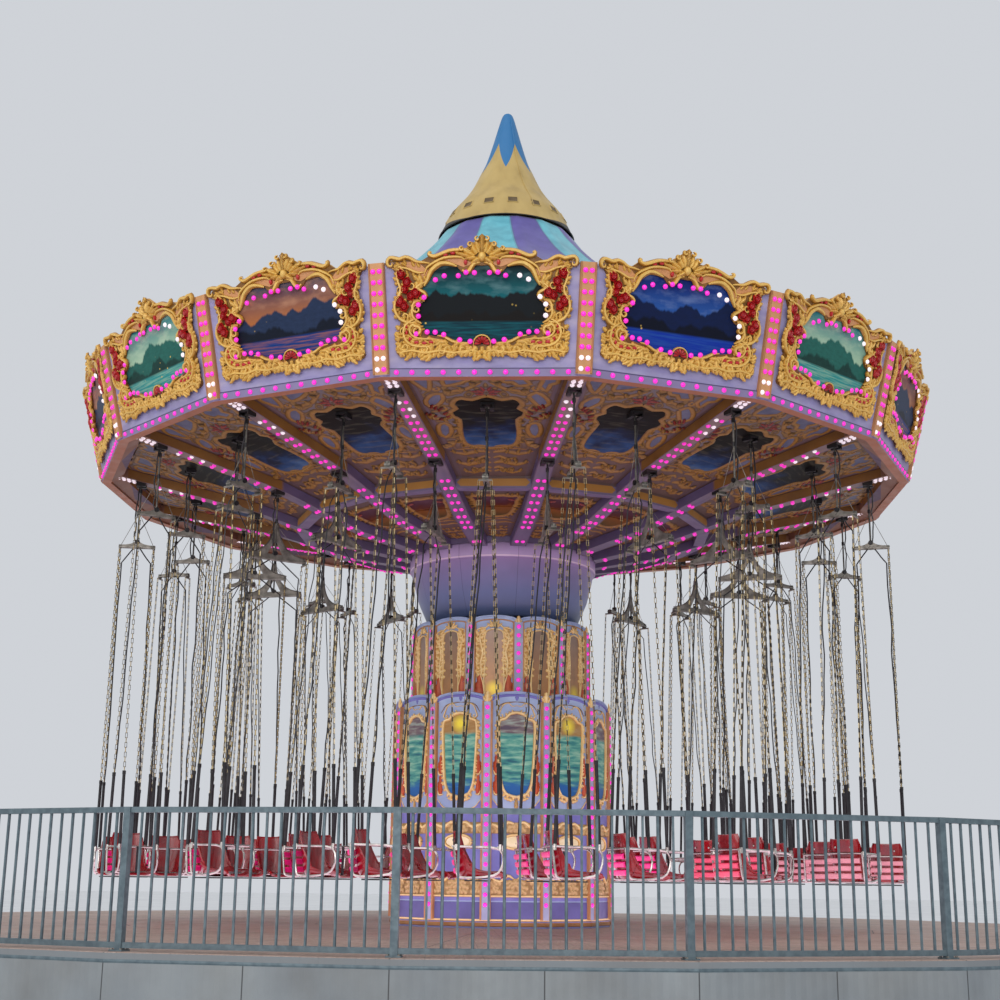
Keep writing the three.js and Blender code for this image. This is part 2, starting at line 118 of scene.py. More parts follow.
class Paint:
    """A material built from nodes. A colour is given by its code."""

    def __init__(self, name, roughness=0.5, metallic=0.0, coat=0.0, glow=None, power=0.0):
        material = bpy.data.materials.new(name)
        material.use_nodes = True
        self.tree = material.node_tree
        self.shader = self.tree.nodes["Principled BSDF"]
        self.set(Roughness=roughness, Metallic=metallic)
        self.shader.inputs["Coat Weight"].default_value = coat
        self.shader.inputs["Coat Roughness"].default_value = 0.15
        if glow:
            self.shader.inputs["Emission Color"].default_value = tone(glow)
            self.shader.inputs["Emission Strength"].default_value = power
        self.where = self.node("TexCoord", out="Object")
        LOOKS[name] = material

    def set(self, **sockets):
        for key, value in sockets.items():
            self.feed(self.shader.inputs[key.replace("_", " ")], value)

    def feed(self, socket, value):
        if isinstance(value, bpy.types.NodeSocket):
            self.tree.links.new(value, socket)
        else:
            socket.default_value = tone(value) if isinstance(value, str) else value

    def node(self, kind, inputs=None, out=0, **settings):
        made = self.tree.nodes.new("ShaderNode" + kind)
        for key, value in settings.items():
            setattr(made, key, value)
        for key, value in (inputs or {}).items():
            self.feed(made.inputs[key], value)
        return made.outputs[out]

    def calc(self, operation, *values):
        return self.node("Math", dict(enumerate(values)), operation=operation)

    def plus(self, a, b):
        return self.calc("ADD", a, b)

    def minus(self, a, b):
        return self.calc("SUBTRACT", a, b)

    def times(self, a, b):
        return self.calc("MULTIPLY", a, b)

    def size(self, value):
        return self.calc("ABSOLUTE", value)

    def reach(self, x, y):
        """Distance from the origin."""
        return self.calc("SQRT", self.plus(self.times(x, x), self.times(y, y)))

    def share(self, value, low, high, *ends):
        """From 0 at low to 1 at high, or between two other ends."""
        return self.node("MapRange", {0: value, 1: low, 2: high, **dict(zip((3, 4), ends))})

    def xyz(self, vector=None):
        made = self.tree.nodes.new("ShaderNodeSeparateXYZ")
        self.feed(made.inputs[0], vector or self.where)
        return made.outputs[0], made.outputs[1], made.outputs[2]

    def vector(self, x=0.0, y=0.0, z=0.0):
        return self.node("CombineXYZ", {0: x, 1: y, 2: z})

    def noise(self, scale, detail=3.0, vector=None):
        return self.node("TexNoise", {"Vector": vector or self.where, "Scale": scale, "Detail": detail})

    def step(self, value, at, soft=0.003):
        """0 below a value and 1 above it."""
        if isinstance(at, bpy.types.NodeSocket):
            return self.share(self.minus(value, at), -soft, soft)
        return self.share(value, at - soft, at + soft)

    def below(self, value, at, soft=0.003):
        return self.minus(1.0, self.step(value, at, soft))

    def band(self, value, low, high, soft=0.003):
        """1 between two values."""
        return self.minus(self.step(value, low, soft), self.step(value, high, soft))

    def line(self, value, at, half):
        return self.band(value, at - half, at + half, 0.002)

    def mix(self, share, a, b):
        return self.node("Mix", {0: share, 6: a, 7: b}, 2, data_type="RGBA")

    def ramp(self, value, *stops, constant=False):
        made = self.tree.nodes.new("ShaderNodeValToRGB")
        made.color_ramp.interpolation = "CONSTANT" if constant else "LINEAR"
        elements = made.color_ramp.elements
        while len(elements) < len(stops):
            elements.new(0.5)
        for element, (position, code) in zip(elements, stops):
            element.position, element.color = position, tone(code)
        self.feed(made.inputs[0], value)
        return made.outputs[0]

    def tones(self, value, low, high):
        """From one tone to another, over a noise's usual range."""
        return self.ramp(value, (0.3, low), (0.7, high))

    def layers(self, colour, *over):
        """Colours laid over one another, each where its mask is 1."""
        for mask, code in over:
            colour = self.mix(mask, colour, code)
        return colour

    def worn(self, colour, scale=3.0, amount=0.25, dirt="#5b4a40"):
        """Soft patches of dirt."""
        return self.mix(self.share(self.noise(scale, 6.0), 0.42, 0.75, 0.0, amount), colour, dirt)

    def bump(self, height, depth=0.002, strength=0.6):
        made = self.node("Bump", {"Strength": strength, "Distance": depth, "Height": height})
        self.set(Normal=made)

    def uneven(self, low, high, scale=6.0):
        """A roughness between two values."""
        self.set(Roughness=self.share(self.noise(scale, 4.0), 0.3, 0.7, low, high))

    def fold(self, count, turn):
        """Across a side, out from the axis, height, and the side's number, all sides folded onto one."""
        x, y, z = self.xyz()
        angle = self.minus(self.calc("ARCTAN2", y, x), turn)
        step = math.tau / count
        folded = self.calc("WRAP", angle, step / 2, -step / 2)
        number = self.calc("ROUND", self.calc("DIVIDE", angle, step))
        radius = self.reach(x, y)
        across = self.times(radius, self.calc("SINE", folded))
        out = self.times(radius, self.calc("COSINE", folded))
        return across, out, z, self.calc("WRAP", number, float(count), 0.0)

    def slope(self, value, factor, offset=0.0):
        return self.calc("MULTIPLY_ADD", value, factor, offset)

    def downward(self):
        """1 on a face that looks down."""
        normal = self.node("NewGeometry", out="True Normal")
        return self.step(self.times(self.xyz(normal)[2], -1.0), 0.7, 0.1)


def plain(name, light, dark, scale=4.0, roughness=(0.4, 0.6), grain=0.0, grain_scale=90.0, **more):
    """A finish that varies between two tones, with a fine grain."""
    paint = Paint(name, **more)
    patches = paint.share(paint.noise(scale, 5.0), 0.35, 0.65)
    paint.set(Base_Color=paint.mix(patches, light, dark))
    paint.uneven(*roughness, scale * 2)
    if grain:
        paint.bump(paint.noise(grain_scale, 3.0), grain)


def carved(name, *stops, roughness=0.42, metallic=0.0, coat=0.0):
    """Carving with painted shade in its hollows and a painted highlight on its ridges, both read from each point's
    painted shading.
    """
    paint = Paint(name, roughness, metallic, coat)
    # The carving's painted shade and painted highlight come from the point attribute, with a random mottle over them
    painted_shading = paint.node("Attribute", out="Fac", attribute_name="painted_shading")
    shading_and_mottle = paint.plus(painted_shading, paint.slope(paint.noise(14.0, 4.0), 0.5, -0.25))
    paint.set(Base_Color=paint.worn(paint.ramp(shading_and_mottle, *stops), 2.0, 0.12))
    paint.uneven(roughness - 0.1, roughness + 0.12, 20.0)
    paint.bump(paint.noise(60.0, 2.0), 0.002, 0.5)


def palette(paint, number, codes):
    """One of a few colours, by the side's number."""
    share = paint.calc("FRACT", paint.slope(number, 0.59, 0.1))
    stops = [(i / len(codes), code) for i, code in enumerate(codes)]
    return paint.ramp(share, *stops, constant=True)


def landscape(paint, across, up, number, codes, horizon):
    """A plain view: sky with soft clouds, two rows of hills and streaked water. up runs from 0 to 1."""
    sky_high, sky_low, far, near, water = [palette(paint, number, [row[i] for row in codes]) for i in range(5)]
    seed = paint.slope(number, 3.17)
    place = paint.vector(paint.slope(across, 1.6), paint.slope(up, 3.0), seed)
    cloud = paint.share(paint.noise(2.6, 6.0, place), 0.45, 0.7)
    glow = paint.share(up, horizon, 1.0)
    sky = paint.mix(glow, sky_low, sky_high)
    sky = paint.mix(paint.times(cloud, 0.75), sky, paint.mix(0.16, sky_low, "#d8dcd4"))
    ridge_place = paint.vector(paint.slope(across, 2.4), seed, 0.0)
    ridge = paint.slope(paint.noise(1.0, 5.0, ridge_place), 0.75, horizon - 0.25)
    nearer_place = paint.vector(paint.slope(across, 3.4), seed, 5.0)
    nearer = paint.slope(paint.noise(1.0, 6.0, nearer_place), 0.6, horizon - 0.42)
    shade = paint.noise(9.0, 6.0, place)
    far = paint.mix(shade, far, paint.mix(0.55, far, "#10161c"))
    near = paint.mix(shade, near, paint.mix(0.7, near, "#0c1014"))
    streak_place = paint.vector(paint.slope(across, 2.0), paint.slope(up, 26.0), seed)
    streaks = paint.share(paint.noise(1.6, 4.0, streak_place), 0.42, 0.62)
    sea = paint.mix(streaks, water, paint.mix(0.5, water, sky_low))
    land = paint.mix(paint.below(up, ridge, 0.015), sky, far)
    land = paint.mix(paint.below(up, nearer, 0.02), land, near)
    return paint.mix(paint.below(up, horizon - 0.22, 0.015), land, sea)


def make_trim_paints():
    carved("gold", (0.0, "#5c370d"), (0.3, "#9c6a20"), (0.6, "#cf9a3e"), (1.0, "#eec46a"), metallic=0.1)
    carved("pale_gold", (0.0, "#7e5524"), (0.3, "#c4954c"), (0.6, "#e4b870"), (1.0, "#f6dca0"))
    # A darker copy of the drum's gold: painted shade on the two lower bands of the lower drum, where the under_canopy
    # lamp shines brightest
    carved("band_gold", (0.0, "#664826"), (0.3, "#9a784a"), (0.6, "#b8945c"), (1.0, "#d2b07a"))
    carved("fill", (0.0, "#8a5a2c"), (0.5, "#cf8f58"), (1.0, "#e0a876"))
    carved("petal", (0.0, "#4a060a"), (0.45, "#a50f16"), (1.0, "#c8181e"), roughness=0.35, coat=0.2)
    plain("patch", "#6b6e86", "#585d78", 6.0, (0.5, 0.7), 0.001)
    carved("flame", (0.0, "#5e1408"), (0.5, "#a8381c"), (1.0, "#cf6038"))
    carved("ochre", (0.0, "#33200c"), (0.5, "#74501e"), (1.0, "#a3752e"))
    carved("wine", (0.0, "#24060a"), (0.5, "#5e1414"), (1.0, "#96301f"))
    plain("lamp_magenta", "#ff2fd0", "#e818b0", 30.0, (0.12, 0.2), coat=0.6, glow="#ff22c8", power=0.5)
    plain("lamp_white", "#ffffff", "#f2dcec", 30.0, (0.12, 0.2), coat=0.6, glow="#fff0fa", power=0.45)
    plain("trim_tan", "#c08a58", "#a9744a", 5.0, (0.4, 0.6), 0.002)
    # drum_foot is drum_violet darkened by about a fifth: painted shade on the lowest band of the lower drum
    for name, light, dark, scale in (("edge", "#7b7cc4", "#6a66ae", 5.0), ("pale", "#a7b9da", "#92a4cb", 3.0),
                                     ("violet", "#7f7fc4", "#6c6cb2", 3.0), ("foot", "#6361a0", "#55538a", 3.0),
                                     ("post", "#a6adc9", "#9196ba", 4.0)):
        plain("drum_" + name, light, dark, scale, (0.35, 0.5), 0.001)
    # cream paints the lower drum's oval boss bright: a painted reflection of the sun, where the real drum has a mirror
    plain("cream", "#fbf0cc", "#ecdcaa", 5.0, (0.3, 0.5), 0.001)
    plain("vent", "#6d5a3c", "#54442c", 9.0, (0.5, 0.7), 0.001)
    plain("dark", "#17161a", "#0b0b0d", 6.0, (0.45, 0.65), 0.002)


def make_seat_paints():
    plain("seat_red", "#9a0a16", "#6f0510", 5.0, (0.16, 0.3), 0.0006, 40.0, coat=0.6)
    # Painted light: the slats glow faintly, and their tones run from hot pink to pale, as if the pink lamps lit them
    # less and less towards the right
    for name, light, dark, power in (("pink", "#ff2f96", "#ef1c80", 0.08), ("rose", "#f5587a", "#e04666", 0.03),
                                     ("pale", "#e198a2", "#cd8791", 0.01)):
        plain("slat_" + name, light, dark, 9.0, (0.3, 0.45), 0.001, coat=0.2, glow=light, power=power)
    plain("chrome", "#d2cdc8", "#a9a39e", 12.0, (0.14, 0.3), 0.0004, metallic=0.9)
    plain("rod", "#6a6860", "#45443f", 9.0, (0.4, 0.6), 0.001, metallic=0.3)
    # The two chain paints are a lit and a shaded copy of one metal, given to alternate links: painted highlight and
    # painted shade
    plain("chain", "#cdbb8c", "#a39265", 60.0, (0.3, 0.5), 0.0006, 120.0, metallic=0.45)
    plain("chain_dark", "#5f543c", "#332d22", 60.0, (0.35, 0.55), 0.0006, 120.0, metallic=0.45)
    plain("steel", "#98938a", "#6c6861", 9.0, (0.35, 0.55), 0.001, metallic=0.45)
    plain("rubber", "#222126", "#111114", 8.0, (0.5, 0.7), 0.001)
    plain("cable", "#18181b", "#26252a", 30.0, (0.4, 0.6), 0.0005)


def make_board_paints():
    paint = Paint("board_view", 0.5)
    paint.set(Specular_IOR_Level=0.12)
    across, _, height, number = paint.fold(SIDES, FIRST_BAY)
    up = paint.share(height, BOARD_FOOT[1] + 0.3, BOARD_FOOT[1] + BOARD_HIGH)
    codes = (("#101417", "#0f6a72", "#14191c", "#191512", "#0c3440"),
             ("#1d7f88", "#a9c9a8", "#2d7468", "#1d4a42", "#2b8f8e"),
             ("#0c1d66", "#2c58a0", "#10204c", "#0c1228", "#12349a"),
             ("#39485f", "#b06a3a", "#2c3c5c", "#161e30", "#12397c"))
    view = landscape(paint, across, up, number, codes, 0.52)
    sparks = paint.node("TexVoronoi", {"Vector": paint.vector(across, height, number), "Scale": 9.0})
    dots = paint.times(paint.below(sparks, 0.09, 0.03),
                       paint.times(paint.band(up, 0.08, 0.5, 0.05),
                                   paint.step(paint.noise(2.0, 2.0, paint.vector(across, height, number)), 0.5, 0.04)))
    paint.set(Base_Color=paint.mix(dots, view, "#e2bd5c"))
    paint.bump(paint.noise(40.0, 4.0), 0.002, 0.4)

    paint = Paint("boards", 0.45)
    across, out, height, _ = paint.fold(SIDES, FIRST_BAY)
    corner, _, _, _ = paint.fold(SIDES, FIRST_RIB)
    off = paint.size(corner)
    depth = paint.minus(paint.slope(out, math.cos(BOARD_LEAN), -BOARD_FOOT[0] * math.cos(BOARD_LEAN)),
                        paint.slope(height, math.sin(BOARD_LEAN), -BOARD_FOOT[1] * math.sin(BOARD_LEAN)))
    streaks = paint.noise(3.0, 5.0, paint.vector(across, paint.slope(height, 3.0), out))
    face = paint.ramp(streaks, (0.3, "#958dc0"), (0.55, "#aaa2ca"), (0.75, "#bfb4cd"))
    crest = paint.step(height, BOARD_FOOT[1] + 1.17, 0.01)
    strip = paint.below(height, BOARD_FOOT[1] + 0.062, 0.002)
    groove = paint.line(height, BOARD_FOOT[1] + 0.066, 0.006)
    face = paint.layers(face, (strip, "#8a7ea8"), (groove, "#463f6a"))
    back = paint.below(depth, -0.03, 0.004)
    face = paint.layers(face, (back, "#8a5c42"), (paint.downward(), "#ae6c4c"), (crest, "#cf9c46"))
    post = paint.ramp(paint.slope(off, 10.0), (0.0, "#d29a63"), (0.66, "#d9a06a"), (0.7, "#a9733f"), (0.9, "#b98050"))
    on_post = paint.times(paint.below(off, 0.0905, 0.0005), paint.step(height, BOARD_FOOT[1], 0.003))
    paint.set(Base_Color=paint.worn(paint.mix(on_post, face, post), 4.0, 0.2))
    paint.bump(paint.noise(30.0, 4.0), 0.001, 0.4)
    paint.uneven(0.35, 0.55, 5.0)


def sun_disc(paint, across, height, at, share):
    """A soft round glow on the sides where share is 1."""
    down = paint.slope(height, 1.0, -at)
    far = paint.reach(across, down)
    return paint.times(share, paint.share(far, 0.13, 0.03))


def make_drum_paints():
    paint = Paint("drum_view", 0.4)
    across, _, height, number = paint.fold(DRUM_SIDES, LOWER_CORNER + SECTOR / 2)
    up = paint.share(height, 2.65, 3.7)
    seed = paint.slope(number, 2.3)
    place = paint.vector(paint.slope(across, 2.2), paint.slope(up, 12.0), seed)
    waves = paint.plus(paint.noise(1.7, 6.0, place), paint.slope(up, 0.12, -0.06))
    sea = paint.ramp(waves, (0.3, "#2f6272"), (0.42, "#418c88"), (0.52, "#66a896"), (0.62, "#90c0a8"),
                     (0.76, "#bfd6ca"))
    deep = paint.below(paint.plus(up, paint.slope(waves, 0.3)), 0.3, 0.05)
    sky = paint.ramp(paint.noise(2.0, 5.0, place), (0.35, "#5b5160"), (0.5, "#7d6f70"), (0.65, "#9aa9a0"))
    odd = paint.calc("PINGPONG", number, 1.0)
    sky = paint.mix(paint.times(odd, 0.7), sky, "#b58a3e")
    view = paint.mix(paint.step(paint.plus(up, paint.slope(waves, 0.1)), 0.8, 0.02),
                     paint.mix(deep, sea, "#2c64a6"), sky)
    view = paint.mix(sun_disc(paint, across, height, 3.56, odd), view, "#f2e04a")
    paint.set(Base_Color=view, Specular_IOR_Level=0.2)
    paint.bump(paint.noise(40.0, 4.0), 0.002, 0.4)

    paint = Paint("mirror", 0.3, 0.25)
    across, _, height, number = paint.fold(DRUM_SIDES, UPPER_CORNER + SECTOR / 2)
    # Painted reflection: a warm gradient, orange at the foot to grey-brown at the top, and a yellow sun on every other
    # panel stand in for the sunset the mirror reflects
    painted_reflection = paint.ramp(paint.share(height, 3.9, 4.85), (0.0, "#bd8450"), (0.45, "#a67c58"), (1.0, "#88756a"))
    painted_reflection = paint.worn(painted_reflection, 6.0, 0.35, "#5c4a40")
    lit = sun_disc(paint, across, height, 4.03, paint.calc("PINGPONG", number, 1.0))
    paint.set(Base_Color=paint.layers(painted_reflection, (paint.times(lit, 0.85), "#f2d23a")))
    paint.bump(paint.noise(5.0, 2.0), 0.004, 0.35)

    for name, turn in (("lower_drum", LOWER_CORNER), ("upper_drum", UPPER_CORNER)):
        paint = Paint(name, 0.4)
        across, _, height, _ = paint.fold(DRUM_SIDES, turn + SECTOR / 2)
        blue = paint.tones(paint.noise(1.5, 3.0), "#7d82bc", "#8b90c6")
        joints = paint.calc("PINGPONG", height, 0.46)
        seams = paint.below(joints, 0.006, 0.002)
        paint.set(Base_Color=paint.worn(paint.layers(blue, (seams, "#5c5a8c")), 3.0, 0.25))
        paint.bump(paint.plus(seams, paint.noise(20.0, 3.0)), 0.001, 0.5)
        paint.uneven(0.3, 0.5, 4.0)


def underside(paint, out, tilt=1.0, lift=0.0):
    """Height of the ribs' underside, or of the ceiling on it, at a distance from the axis."""
    outer, middle, inner = [paint.slope(out, slope / tilt, foot + lift) for _, slope, foot in UNDERSIDE]
    return paint.calc("MINIMUM", outer, paint.calc("MAXIMUM", middle, inner))


def make_canopy_paints():
    paint = Paint("canopy_frame", 0.5)
    across, out, height, _ = paint.fold(SIDES, FIRST_RIB)
    under = paint.minus(height, underside(paint, out))
    streaks = paint.noise(2.5, 4.0, paint.vector(paint.slope(across, 3.0), out, height))
    foot = paint.mix(paint.step(out, 3.6, 0.5), paint.tones(streaks, "#635877", "#766880"),
                     paint.tones(streaks, "#7c6668", "#8d7674"))
    edge = paint.step(paint.size(across), RIB_HALF - 0.014, 0.002)
    foot = paint.layers(foot, (edge, "#5f4c66"))
    ochre = paint.tones(streaks, "#7c5124", "#9a6b32")
    side = paint.mix(paint.step(out, 3.4, 0.02), paint.tones(streaks, "#554a6e", "#69597e"), ochre)
    rim = paint.step(out, 5.19, 0.002)
    upper = paint.step(under, RIB_DEPTH + 0.02, 0.005)
    body = paint.mix(paint.downward(), side, foot)
    body = paint.layers(body, (rim, "#8c6450"), (upper, "#77708a"))
    head = paint.below(under, -0.003, 0.001)
    outward = paint.band(out, 3.0, 5.13, 0.01)
    body = paint.layers(body, (paint.times(head, outward), HEAD_BLACK))
    paint.set(Base_Color=paint.worn(body, 3.0, 0.25))
    paint.bump(paint.noise(40.0, 3.0), 0.001, 0.4)
    paint.uneven(0.4, 0.6, 4.0)

    paint = Paint("ceiling", 0.55)
    across, out, height, _ = paint.fold(SIDES, FIRST_BAY)
    off = paint.size(across)
    side = paint.slope(out, math.tan(BAY / 2), -RIB_HALF / FLAT)      # half the bay's clear width
    edge = paint.minus(side, off)
    place = paint.vector(off, out, 0.0)
    cloud = paint.noise(2.2, 3.0, place)
    ground = paint.ramp(cloud, (0.3, "#5e4845"), (0.55, "#6e544e"), (0.75, "#7c5f52"))
    swirl = paint.noise(4.0, 1.5, paint.vector(off, paint.slope(out, 1.0, 7.3), 0.0))
    scrolls = paint.ramp(swirl, (0.0, "#7c665a"), (0.33, "#7c665a"), (0.36, "#4e3818"), (0.39, "#8a6730"),
                         (0.44, "#8f6c36"), (0.465, "#4e3818"), (0.485, "#7d6a5e"), (0.53, "#6a6676"),
                         (0.56, "#7d6a5e"), (0.58, "#553d1a"), (0.61, "#8d6a32"), (0.65, "#553d1a"), (0.68, "#74605a"))
    outer = paint.band(out, 3.45, 5.2, 0.12)
    inside = paint.step(edge, 0.09, 0.01)
    ground = paint.mix(paint.times(outer, inside), ground, scrolls)
    border = paint.band(edge, 0.035, 0.075, 0.003)
    inner = paint.below(out, 3.4, 0.005)
    ground = paint.layers(ground, (border, "#6e5c66"))
    beam = paint.times(paint.band(out, BEAM[0] - 0.001, BEAM[1] + 0.001, 0.0005),
                       paint.below(height, BEAM_FOOT + 0.115, 0.004))
    bevel = paint.plus(off, paint.size(paint.minus(height, BEAM_FOOT + 0.073)))
    stripe = paint.times(paint.step(out, BEAM[1] - 0.0015, 0.0005),
                         paint.times(paint.band(height, BEAM_FOOT + 0.026, BEAM_FOOT + 0.12, 0.002),
                                     paint.below(bevel, 0.45, 0.004)))
    ground = paint.layers(ground, (paint.times(inner, 0.55), "#59443f"), (beam, "#736686"), (stripe, "#b07a30"))
    depth = paint.minus(height, underside(paint, out, FLAT, CEILING_LIFT))
    head = paint.times(paint.below(depth, -0.004, 0.001), paint.step(out, 3.5, 0.1))
    ground = paint.layers(ground, (head, HEAD_BLACK))
    paint.set(Base_Color=paint.worn(ground, 2.5, 0.2, "#40303a"))
    paint.bump(paint.noise(25.0, 4.0), 0.001, 0.4)
    paint.uneven(0.45, 0.65, 4.0)

    paint = Paint("ceiling_view", 0.5)
    paint.set(Specular_IOR_Level=0.1)
    across, out, _, number = paint.fold(SIDES, FIRST_BAY)
    up = paint.share(out, 3.3, 4.55)
    place = paint.vector(paint.slope(across, 2.0), paint.slope(up, 3.0), paint.slope(number, 2.1))
    murk = paint.noise(1.6, 6.0, place)
    depth = paint.plus(up, paint.slope(murk, 0.9, -0.45))
    view = paint.ramp(depth, (0.0, "#5c7898"), (0.22, "#30507f"), (0.45, "#1b2743"), (0.62, "#1b1c1c"),
                      (1.0, "#17120d"))
    streaks = paint.noise(3.0, 5.0, paint.vector(across, paint.slope(up, 7.0), number))
    view = paint.mix(paint.times(paint.step(streaks, 0.58, 0.05), 0.25), view, "#6d6a58")
    sunset = paint.ramp(paint.plus(paint.share(out, 1.95, 2.45),
                                   paint.slope(paint.noise(9.0, 4.0), 0.4, -0.2)),
                        (0.0, "#4b4020"), (0.25, "#6e4a22"), (0.45, "#7c4a1e"), (0.6, "#54261e"), (0.75, "#4e2c34"),
                        (1.0, "#5e4050"))
    paint.set(Base_Color=paint.mix(paint.step(out, 2.8), sunset, view))
    paint.bump(paint.noise(40.0, 3.0), 0.001, 0.4)

    paint = Paint("roof", 0.62)
    x, y, _ = paint.xyz()
    inward = paint.calc("POWER", paint.share(paint.reach(x, y), 4.0, 1.0), 2.3)
    twist = paint.slope(inward, math.radians(-6.0))
    across, out, height, number = paint.fold(SIDES, paint.plus(twist, FIRST_BAY))
    odd = paint.calc("PINGPONG", number, 1.0)
    weave = paint.noise(6.0, 3.0)
    teal = paint.tones(weave, "#479fb1", "#63bccb")
    violet = paint.tones(weave, "#463b8c", "#584d9f")
    half = paint.slope(out, math.tan(BAY / 2))
    seam = paint.step(paint.minus(paint.size(across), half), -0.02, 0.003)
    colour = paint.mix(odd, teal, violet)
    colour = paint.mix(paint.times(seam, 0.35), colour, "#3c5f78")
    paint.set(Base_Color=paint.worn(colour, 1.6, 0.18, "#6c7c80"))
    paint.shader.inputs["Sheen Weight"].default_value = 0.3
    paint.bump(paint.plus(paint.noise(3.0, 4.0), paint.times(seam, 1.2)), 0.002, 0.5)

    paint = Paint("cap", 0.5)
    x, y, height = paint.xyz()
    angle = paint.slope(paint.calc("ARCTAN2", y, x), 6 / math.tau, 93 / 60)
    teeth = paint.slope(paint.calc("PINGPONG", angle, 0.5), 0.98, 11.81)
    tip = paint.step(height, teeth, 0.006)
    streaks = paint.noise(5.0, 5.0, paint.vector(x, y, paint.slope(height, 0.25)))
    cream = paint.ramp(streaks, (0.3, "#c3a868"), (0.55, "#b99e60"), (0.75, "#aa9056"))
    # Painted shade: a near-black band at the cap's foot, in the gap between its hem and the roof, thin at the front and
    # taller towards the sides
    aside = paint.size(paint.calc("WRAP", paint.slope(paint.calc("ARCTAN2", y, x), 1.0, math.pi / 2),
                                  math.pi, -math.pi))
    hem = paint.slope(paint.share(aside, 0.6, 1.35), 0.14, 10.795)
    painted_gap_shade = paint.below(height, hem, 0.006)
    paint.set(Base_Color=paint.layers(cream, (tip, "#2b72a8"), (painted_gap_shade, "#1b1917")))
    paint.bump(paint.noise(12.0, 4.0), 0.001, 0.4)
    paint.uneven(0.4, 0.6, 5.0)

    paint = Paint("bowl", 0.42, 0.0, 0.12)
    across, out, height, _ = paint.fold(10, math.radians(27))
    blend = paint.plus(paint.share(height, 5.02, 5.78), paint.slope(paint.noise(1.2, 3.0), 0.2, -0.1))
    shell = paint.ramp(blend, (0.0, "#526186"), (0.4, "#69729e"), (0.75, "#8175a5"), (1.0, "#9479a9"))
    lip = paint.step(height, 5.757, 0.002)
    line = paint.line(height, 5.775, 0.008)
    seam = paint.below(paint.size(across), 0.0035, 0.0015)
    shell = paint.layers(shell, (lip, "#b99ecb"), (line, "#e2c4dc"), (paint.times(seam, 0.55), "#3c3c5c"))
    paint.set(Base_Color=paint.worn(shell, 3.0, 0.15, "#4a4658"))
    paint.bump(paint.minus(paint.slope(paint.noise(2.0, 2.0), 0.6), seam), 0.002, 0.5)


def make_deck_paints():
    paint = Paint("deck", 0.6)
    across, out, height, _ = paint.fold(DECK_SIDES, DECK_CORNER + math.pi / DECK_SIDES)
    half = paint.slope(out, math.tan(math.pi / DECK_SIDES))
    joint = paint.step(paint.minus(paint.size(across), half), -0.006, 0.002)
    rings = paint.below(paint.calc("PINGPONG", out, 1.2), 0.007, 0.002)
    boards = paint.below(paint.calc("PINGPONG", across, 0.075), 0.003, 0.0015)
    grain = paint.noise(9.0, 6.0, paint.vector(paint.slope(across, 6.0), out, height))
    colour = paint.ramp(grain, (0.3, "#9f897e"), (0.5, "#b59c8f"), (0.7, "#c8b0a0"))
    colour = paint.layers(colour, (paint.times(boards, 0.5), "#6a5850"), (joint, "#57504e"), (rings, "#57504e"))
    side = paint.below(height, DECK_TOP - 0.004, 0.001)
    colour = paint.mix(side, colour, "#7e8488")
    paint.set(Base_Color=paint.worn(colour, 0.8, 0.35, "#6f6258"))
    paint.bump(paint.minus(grain, paint.plus(boards, joint)), 0.002, 0.5)
    paint.uneven(0.45, 0.7, 2.0)

    paint = Paint("skirt", 0.55)
    across, out, height, _ = paint.fold(DECK_SIDES * 2, DECK_CORNER)
    seam = paint.below(paint.size(across), 0.005, 0.002)
    ribs = paint.calc("PINGPONG", across, 0.045)
    colour = paint.tones(paint.noise(1.2, 4.0), "#7d8489", "#92989a")
    paint.set(Base_Color=paint.worn(paint.layers(colour, (seam, "#3c4044")), 1.5, 0.4, "#5e5850"))
    paint.bump(paint.slope(ribs, 12.0), 0.01, 0.6)

    plain("concrete", "#a39c92", "#847c74", 1.5, (0.7, 0.9), 0.004, 12.0)
    plain("galvanised", "#67787f", "#54646c", 14.0, (0.35, 0.55), 0.0008, 60.0, metallic=0.25)


# Shapes

class Shape:
    """Points and faces of a piece. Each face has a finish, each point a painted shading from 0, painted shade, to 1, a
    painted highlight.
    """

    def __init__(self):
        self.points, self.faces, self.finish, self.painted_shading = [], [], [], []

    def add(self, points, faces, finish="gold", painted_shading=0.5):
        first = len(self.points)
        self.points.extend(tuple(p) for p in points)
        self.faces.extend(tuple(first + i for i in face) for face in faces)
        self.finish.extend(finish if isinstance(finish, list) else [finish] * len(faces))
        self.painted_shading.extend(painted_shading if isinstance(painted_shading, list) else [painted_shading] * len(points))

    def repeat(self, pattern, places):
        for place in places:
            self.add([place @ Vector(p) for p in pattern.points], pattern.faces, pattern.finish, pattern.painted_shading)

    def mesh(self, name, crease=45):
        mesh = bpy.data.meshes.new(name)
        mesh.from_pydata(self.points, [], self.faces)
        names = sorted(set(self.finish))
        for finish in names:
            mesh.materials.append(LOOKS[finish])
        mesh.polygons.foreach_set("material_index", [names.index(finish) for finish in self.finish])
        mesh.attributes.new("painted_shading", "FLOAT", "POINT").data.foreach_set("value", self.painted_shading)
        mesh.shade_smooth()
        mesh.set_sharp_from_angle(angle=math.radians(crease))
        return mesh

    def piece(self, name, body, slot, crease=45):
        return put(name, self.mesh(name, crease), body)


def repeated(name, body, slot, *parts):
    """A piece made of patterns, each set down at all its places."""
    made = Shape()
    for pattern, places in parts:
        made.repeat(pattern, places)
    return made.piece(name, body, slot)


def put(name, mesh, body, place=None):
    piece = bpy.data.objects.new(name, mesh)
    bpy.context.scene.collection.objects.link(piece)
    if place:
        piece.matrix_world = place
    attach(piece, body)
    return piece


